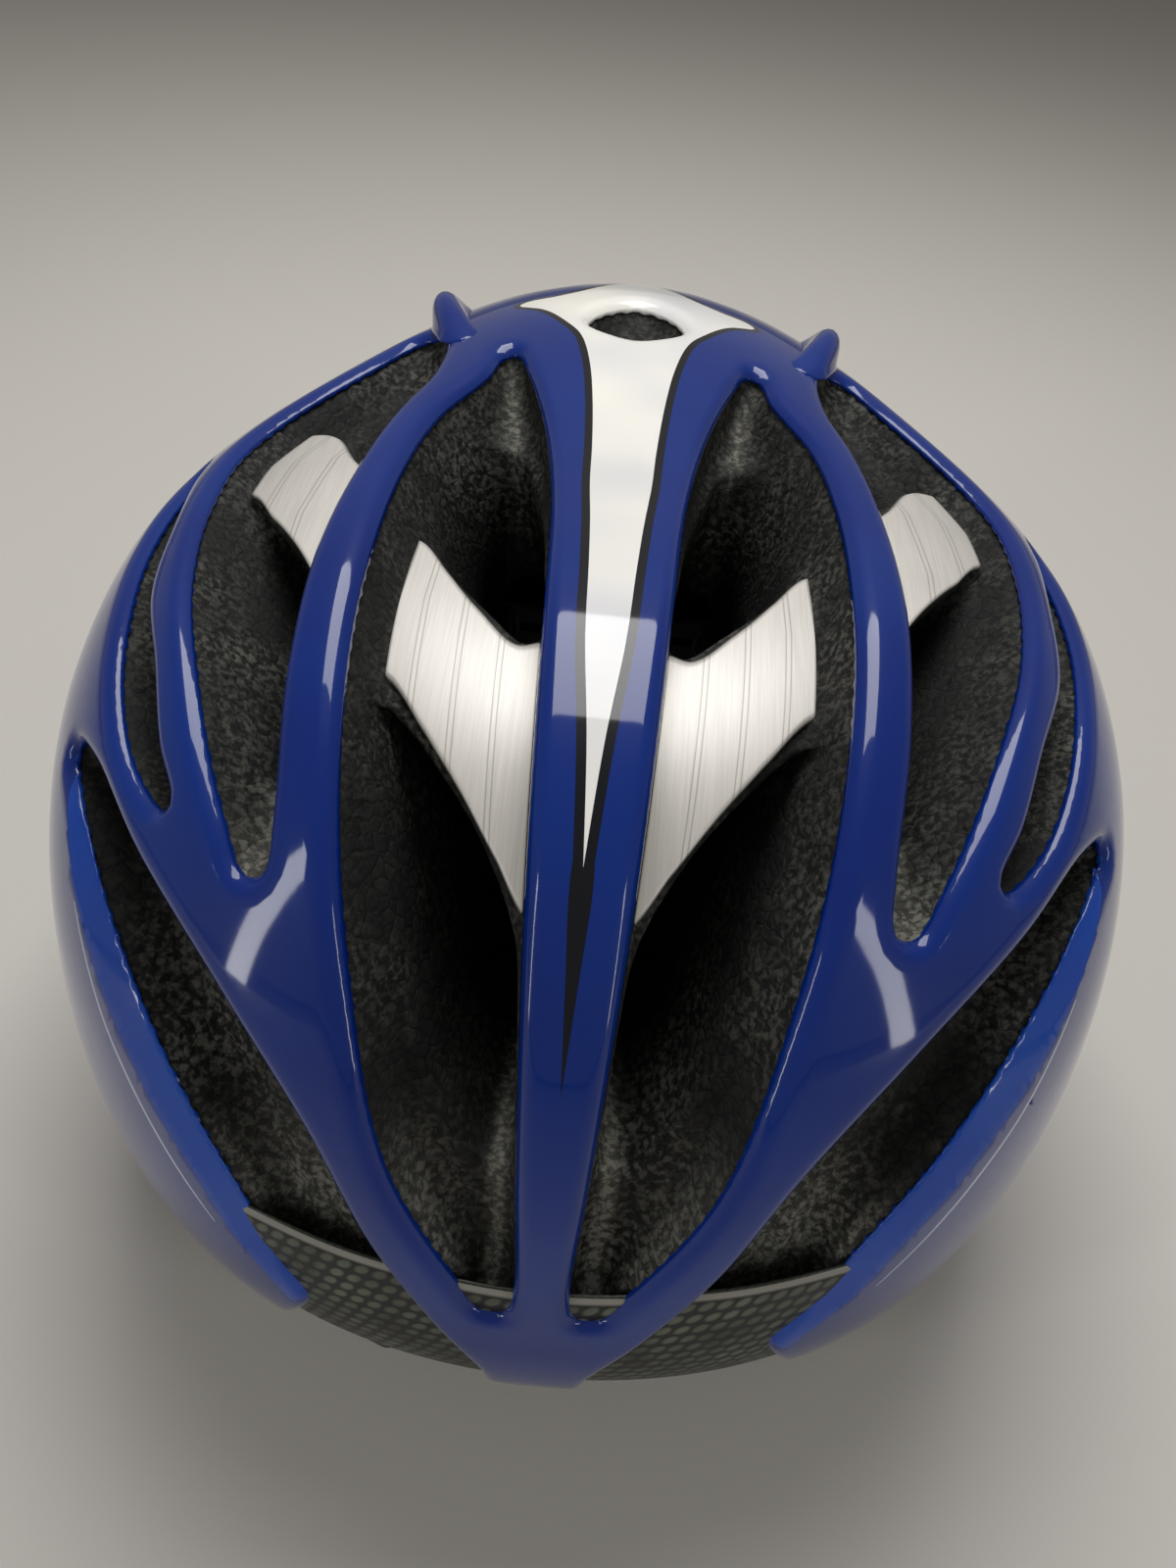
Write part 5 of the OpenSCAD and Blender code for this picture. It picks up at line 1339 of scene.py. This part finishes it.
def woven_polyester():
    """Flat woven webbing: black yarn in a 1 mm rib, slightly shiny where the threads lie flat."""
    material, tree, shader = new_material("woven polyester webbing")
    along = node(tree, "ShaderNodeAttribute", attribute_name="along", attribute_type="GEOMETRY")
    across = node(tree, "ShaderNodeAttribute", attribute_name="across", attribute_type="GEOMETRY")
    place = node(tree, "ShaderNodeCombineXYZ", [("X", across.outputs["Fac"]), ("Y", along.outputs["Fac"])])
    flat = place.outputs["Vector"]
    warp = node(tree, "ShaderNodeTexWave", [("Vector", flat)], bands_direction="X",
                in_Scale=per_mm(1.0) * WAVE_PERIOD, in_Distortion=0.4)
    weft = node(tree, "ShaderNodeTexWave", [("Vector", flat)], bands_direction="Y",
                in_Scale=per_mm(0.8) * WAVE_PERIOD, in_Distortion=0.6)
    weave = node(tree, "ShaderNodeMath", [(0, warp.outputs["Fac"]), (1, weft.outputs["Fac"])],
                 operation="MULTIPLY")
    yarn = node(tree, "ShaderNodeTexNoise", [("Vector", flat)], in_Scale=per_mm(1.4), in_Detail=3.0)
    tone = node(tree, "ShaderNodeValToRGB", [("Fac", yarn.outputs["Fac"])],
                ramp=[(0.3, "#141415"), (0.75, "#28282b")])
    shade = node(tree, "ShaderNodeValToRGB", [("Fac", weave.outputs[0])],
                 ramp=[(0.0, "#6d6d6d"), (0.4, "#ffffff")])
    colour = node(tree, "ShaderNodeMix", [(6, tone.outputs["Color"]), (7, shade.outputs["Color"])],
                  data_type="RGBA", blend_type="MULTIPLY", in_0=1.0)
    bump = node(tree, "ShaderNodeBump", [("Height", weave.outputs[0])], in_Strength=0.7,
                in_Distance=0.0003)
    set_up(tree, shader, [("Base Color", colour.outputs[2]), ("Normal", bump.outputs["Normal"])],
           in_Roughness=0.7, in_Sheen_Weight=0.15)
    return material


def sewing_thread():
    """Bonded polyester thread: round, slightly glossy, a shade lighter than the webbing."""
    material, tree, shader = new_material("bonded sewing thread")
    where = node(tree, "ShaderNodeTexCoord").outputs["Object"]
    twist = node(tree, "ShaderNodeTexNoise", [("Vector", where)], in_Scale=per_mm(0.6), in_Detail=2.0)
    tone = node(tree, "ShaderNodeValToRGB", [("Fac", twist.outputs["Fac"])],
                ramp=[(0.35, "#2d2d30"), (0.65, "#4c4c50")])
    set_up(tree, shader, [("Base Color", tone.outputs["Color"])], in_Roughness=0.5)
    return material


WEBBING, THREAD = woven_polyester(), sewing_thread()
WEB_W, WEB_T, WEB_Z = 15.0, 1.2, 0.9    # width, thickness and height of a strap on the table
print("materials:", WEBBING.name, "and", THREAD.name)


# %% Tree that sweeps a strap
SECTION_POINTS = 52


def tree_socket(tree, name, kind, in_out="INPUT"):
    return tree.interface.new_socket(name, in_out=in_out, socket_type="NodeSocket" + kind)


def strap_tree():
    tree = bpy.data.node_groups.new("strap along a path", "GeometryNodeTree")
    tree_socket(tree, "Path", "Geometry")
    sizes = [tree_socket(tree, name, "Float") for name in ("Width", "Thickness", "Step")]
    cloth = tree_socket(tree, "Material", "Material")
    tree_socket(tree, "Strap", "Geometry", "OUTPUT")
    given = node(tree, "NodeGroupInput").outputs
    finer = node(tree, "GeometryNodeResampleCurve", [("Curve", given["Path"]), ("Length", given["Step"])],
                 mode="LENGTH")
    level = node(tree, "GeometryNodeSetCurveNormal", [("Curve", finer.outputs["Curve"])], mode="Z_UP")
    run = node(tree, "GeometryNodeSplineParameter")
    rail = node(tree, "GeometryNodeStoreNamedAttribute",
                [("Geometry", level.outputs["Curve"]), ("Value", run.outputs["Length"])], in_Name="along")
    shape = node(tree, "GeometryNodeCurvePrimitiveQuadrilateral",
                 [("Width", given["Width"]), ("Height", given["Thickness"])])
    fine = node(tree, "GeometryNodeResampleCurve", [("Curve", shape.outputs["Curve"])], mode="COUNT",
                in_Count=SECTION_POINTS)
    spot = node(tree, "GeometryNodeInputPosition")
    split = node(tree, "ShaderNodeSeparateXYZ", [("Vector", spot.outputs["Position"])])
    section = node(tree, "GeometryNodeStoreNamedAttribute",
                   [("Geometry", fine.outputs["Curve"]), ("Value", split.outputs["X"])], in_Name="across")
    sweep = node(tree, "GeometryNodeCurveToMesh",
                 [("Curve", rail.outputs["Geometry"]), ("Profile Curve", section.outputs["Geometry"])],
                 in_Fill_Caps=True)
    whole = node(tree, "GeometryNodeRealizeInstances", [("Geometry", sweep.outputs["Mesh"])])
    dressed = node(tree, "GeometryNodeSetMaterial",
                   [("Geometry", whole.outputs["Geometry"]), ("Material", given["Material"])])
    node(tree, "NodeGroupOutput", [("Strap", dressed.outputs["Geometry"])])
    return tree, {s.name: s.identifier for s in sizes + [cloth]}


STRAP_TREE, STRAP_IN = strap_tree()
print("inputs of the strap tree:", list(STRAP_IN))

# %% Growing a piece from its paths
def path_object(name, paths_mm):
    """A curve object whose open splines pass through the given points."""
    data = bpy.data.curves.new(name, "CURVE")
    data.dimensions = "3D"
    for points in paths_mm:
        spline = data.splines.new("POLY")
        spline.points.add(len(points) - 1)
        weighted = np.column_stack([np.asarray(points) * MM, np.ones(len(points))])
        spline.points.foreach_set("co", weighted.ravel())
    made = bpy.data.objects.new(name, data)
    bpy.context.collection.objects.link(made)
    return made


def grow(name, carrier, tree, values):
    """Runs a tree on a carrier object and keeps only the plain mesh that it makes."""
    modifier = carrier.modifiers.new("grow", "NODES")
    modifier.node_group = tree
    for identifier, value in values.items():
        modifier[identifier] = value
    graph = bpy.context.evaluated_depsgraph_get()
    mesh = bpy.data.meshes.new_from_object(carrier.evaluated_get(graph), depsgraph=graph)
    mesh.name = name
    bpy.data.objects.remove(carrier)
    piece = bpy.data.objects.new(name, mesh)
    bpy.context.collection.objects.link(piece)
    return piece


print("section points of a strap:", SECTION_POINTS)

# %% Strap routes
ANCHOR_Z, ANCHOR_DEPTH = 10.0, 11.5
BUCKLE_X, BUCKLE_Y, BUCKLE_TURN = -50, -103, math.radians(-20)


def strap_foot(degrees):
    """Where a strap leaves the rim, under its anchor."""
    phi = np.array([math.radians(degrees)])
    rho = angle_at_height(ANCHOR_Z, phi)
    p = (CENTRE + direction(rho, phi) * (envelope(rho, phi) - ANCHOR_DEPTH)[:, None])[0]
    return np.array([p[0], p[1], height_round(RIM_Z, phi)[0]])


def by_buckle(x, z):
    """A point beside the buckle, x along it and z over the table."""
    return [BUCKLE_X + x * math.cos(BUCKLE_TURN), BUCKLE_Y + x * math.sin(BUCKLE_TURN), z]


FRONT_FOOT, REAR_FOOT = strap_foot(98), strap_foot(128)
FRONT_ROUTE = [FRONT_FOOT + [0, 0, -3.4], FRONT_FOOT + [-8, -2, -5.7],
               FRONT_FOOT + [-16, -5, WEB_Z + 1 - FRONT_FOOT[2]], [70, -20, WEB_Z], [63, -26, WEB_Z]]
REAR_ROUTE = [REAR_FOOT + [0, 0, -3.4], REAR_FOOT + [-6, -6, -5.4], REAR_FOOT + [-11, -15, -10],
              [62, 26, WEB_Z], [56, 8, WEB_Z], [52, -6, WEB_Z], [51, -18, WEB_Z]]
CHIN_RIGHT = [by_buckle(-9.4, 4.3), by_buckle(-14.5, 4.3), by_buckle(-20, 3.3), [-69, -88, 1.5],
              [-61, -76, WEB_Z], [-55, -60, WEB_Z], [-54, -46, WEB_Z], [-51, -35, WEB_Z]]
CHIN_LEFT = [by_buckle(21.7, 4.3), by_buckle(26.8, 4.3), by_buckle(32.3, 3.5), [-12, -116, 2.2],
             [-2, -117, WEB_Z], [9, -114, WEB_Z], [20, -108, WEB_Z], [28, -100, WEB_Z], [36, -86, WEB_Z],
             [44, -72, WEB_Z], [48, -56, WEB_Z], [50, -35, WEB_Z]]
print("straps leave the rim at heights, mm:", FRONT_FOOT[2].round(1), REAR_FOOT[2].round(1))

# %% Straps and their bar tacks
def strap(name, route, side_sign=1):
    """A strap along a smooth path through its route's points: (piece, path)."""
    points = np.array([list(p) for p in route], float)
    path = smooth_list(points, np.linspace(0, len(points) - 1, 12 * (len(points) - 1) + 1))
    path = path * [side_sign, 1, 1]
    carrier = path_object(name + "_path", [path])
    values = {STRAP_IN["Width"]: WEB_W * MM, STRAP_IN["Thickness"]: WEB_T * MM, STRAP_IN["Step"]: 1.5 * MM,
              STRAP_IN["Material"]: WEBBING}
    piece = grow(name, carrier, STRAP_TREE, values)
    point_out(piece.data)
    piece.data.shade_smooth()
    piece["rides_on"], piece["finish_slot"] = "helmet", "webbing"
    return piece, path


tack_lines = []
TACK_TURNS = 16


def bar_tack(path, share, width=11.0, depth=5.0, lift=0.62):
    """Zigzag of stitches across a strap at a share of its path."""
    index = min(max(int(share * (len(path) - 1)), 1), len(path) - 2)
    here, way = path[index], path[index + 1] - path[index - 1]
    way = way / np.linalg.norm(way)
    side = np.array([-way[1], way[0], 0]) / np.linalg.norm(way[:2])
    up = np.cross(way, side)
    zigzag = [here + up * lift + side * width * (k / TACK_TURNS - 0.5) + way * depth * (k % 2 - 0.5)
              for k in range(TACK_TURNS + 1)]
    tack_lines.append(np.array(zigzag))


for side_name, side_sign in (("left", 1), ("right", -1)):
    for name, route, shares in (("front_strap_", FRONT_ROUTE, (0.35, 0.8)),
                                ("rear_strap_", REAR_ROUTE, (0.3, 0.86))):
        piece, path = strap("woven_" + name + side_name, route, side_sign)
        settle(piece, [name + side_name])
        for share in shares:
            bar_tack(path, share)
piece, path = strap("woven_chin_strap_right", CHIN_RIGHT)
settle(piece, ["chin_strap_right"])
bar_tack(path, 0.3)
bar_tack(path, 0.92)
chin_left, path = strap("woven_chin_strap_left", CHIN_LEFT)
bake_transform(chin_left)
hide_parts("chin_strap_left")
bar_tack(path, 0.93)
print("bar tacks:", len(tack_lines))

# %% [markdown]
# ## Stitches
# Bar tacks hold the webbing where it is folded back: a dense zigzag of thread. One tree
# sets a short thread at equal steps along any line and turns it to the line, which is
# what a sewing machine does. Every thread is a tiny ball stretched along the line,
# with few faces, because there are hundreds of them.

# %% Stitches along lines
def stitch_tree():
    tree = bpy.data.node_groups.new("stitches along lines", "GeometryNodeTree")
    tree_socket(tree, "Lines", "Geometry")
    sizes = [tree_socket(tree, name, "Float") for name in ("Step", "Length", "Thread")]
    thread = tree_socket(tree, "Material", "Material")
    tree_socket(tree, "Stitches", "Geometry", "OUTPUT")
    given = node(tree, "NodeGroupInput").outputs
    dots = node(tree, "GeometryNodeCurveToPoints", [("Curve", given["Lines"]), ("Length", given["Step"])],
                mode="LENGTH")
    bead = node(tree, "GeometryNodeMeshUVSphere", in_Segments=6, in_Rings=4, in_Radius=0.5)
    size = node(tree, "ShaderNodeCombineXYZ",
                [("X", given["Length"]), ("Y", given["Thread"]), ("Z", given["Thread"])])
    turn_to = node(tree, "FunctionNodeAlignRotationToVector", [("Vector", dots.outputs["Tangent"])],
                   axis="X")
    placed = node(tree, "GeometryNodeInstanceOnPoints",
                  [("Points", dots.outputs["Points"]), ("Instance", bead.outputs["Mesh"]),
                   ("Rotation", turn_to.outputs["Rotation"]), ("Scale", size.outputs["Vector"])])
    whole = node(tree, "GeometryNodeRealizeInstances", [("Geometry", placed.outputs["Instances"])])
    dressed = node(tree, "GeometryNodeSetMaterial",
                   [("Geometry", whole.outputs["Geometry"]), ("Material", given["Material"])])
    node(tree, "NodeGroupOutput", [("Stitches", dressed.outputs["Geometry"])])
    return tree, {s.name: s.identifier for s in sizes + [thread]}


STITCH_TREE, STITCH_IN = stitch_tree()


def stitches(name, lines, body, slot, step, length, thread):
    values = {STITCH_IN["Step"]: step * MM, STITCH_IN["Length"]: length * MM,
              STITCH_IN["Thread"]: thread * MM, STITCH_IN["Material"]: THREAD}
    piece = grow(name, path_object(name + "_lines", lines), STITCH_TREE, values)
    piece.data.shade_smooth()
    piece["rides_on"], piece["finish_slot"] = body, slot
    settle(piece)


stitches("bar_tacks", tack_lines, "helmet", "webbing", 1.5, 1.7, 0.45)

# %% [markdown]
# ## Moulded fittings
# The belt, the cradle, the dial, the dividers and the buckle keep the shapes that
# they were built with, and get finishes. Glass-filled nylon is slightly rough from
# its spark-eroded mould, acetal is smoother and waxier, and the dial's grip is a soft
# rubber with a fine stipple.

# %% Moulded finishes
def moulded(name, low, high, grain_mm, depth, roughness, specular=0.5, coat=0.0):
    """A moulded plastic: two close tones, and a grain of a given size that also varies the gloss."""
    material, tree, shader = new_material(name)
    where = node(tree, "ShaderNodeTexCoord").outputs["Object"]
    flow = node(tree, "ShaderNodeTexNoise", [("Vector", where)], in_Scale=per_mm(14), in_Detail=3.0)
    tone = node(tree, "ShaderNodeValToRGB", [("Fac", flow.outputs["Fac"])], ramp=[(0.35, low), (0.7, high)])
    grain = node(tree, "ShaderNodeTexNoise", [("Vector", where)], in_Scale=per_mm(grain_mm), in_Detail=2.0)
    bump = node(tree, "ShaderNodeBump", [("Height", grain.outputs["Fac"])], in_Strength=0.5,
                in_Distance=depth * MM)
    rough = node(tree, "ShaderNodeMapRange", [("Value", grain.outputs["Fac"])],
                 in_To_Min=roughness - 0.07, in_To_Max=roughness + 0.07)
    set_up(tree, shader, [("Base Color", tone.outputs["Color"]), ("Normal", bump.outputs["Normal"]),
                          ("Roughness", rough.outputs["Result"])],
           in_Specular_IOR_Level=specular, in_Coat_Weight=coat, in_Coat_Roughness=0.25)
    return material


print("materials so far:", len(bpy.data.materials))

# %% Finishes given to the nodes
GLASS_NYLON = moulded("glass-filled nylon, spark-eroded grain", "#161617", "#232325", 0.5, 0.12, 0.55)
ACETAL = moulded("black acetal, smooth moulded", "#0e0e10", "#1a1a1c", 0.9, 0.05, 0.34, 0.5, 0.15)
GREY_NYLON = moulded("dark grey nylon, satin", "#242426", "#313134", 0.6, 0.08, 0.45)
NATURAL_NYLON = moulded("natural nylon gear", "#d9d6cc", "#eceae2", 0.8, 0.04, 0.4)
GRIP_RUBBER = moulded("stippled grip rubber", "#171718", "#242426", 0.7, 0.25, 0.82, 0.3)

FINISHES = {"belt_arm": GLASS_NYLON, "cradle": GLASS_NYLON, "dial_cover": GREY_NYLON,
            "temple_swivel": GLASS_NYLON, "temple_anchor": GREY_NYLON, "temple_cap": GREY_NYLON,
            "dial_knob": GRIP_RUBBER, "dial_gear": NATURAL_NYLON, "strap_keeper": GRIP_RUBBER,
            "strap_anchors": GLASS_NYLON,
            "divider_lever": GREY_NYLON, "divider": ACETAL, "buckle": ACETAL}
LONGEST_FIRST = sorted(FINISHES, key=len, reverse=True)
for node_name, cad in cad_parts.items():
    kind = next((kind for kind in LONGEST_FIRST if node_name.startswith(kind)), None)
    if kind:
        for slot in cad.material_slots:
            slot.material = FINISHES[kind]
print("finishes given:", len(FINISHES))
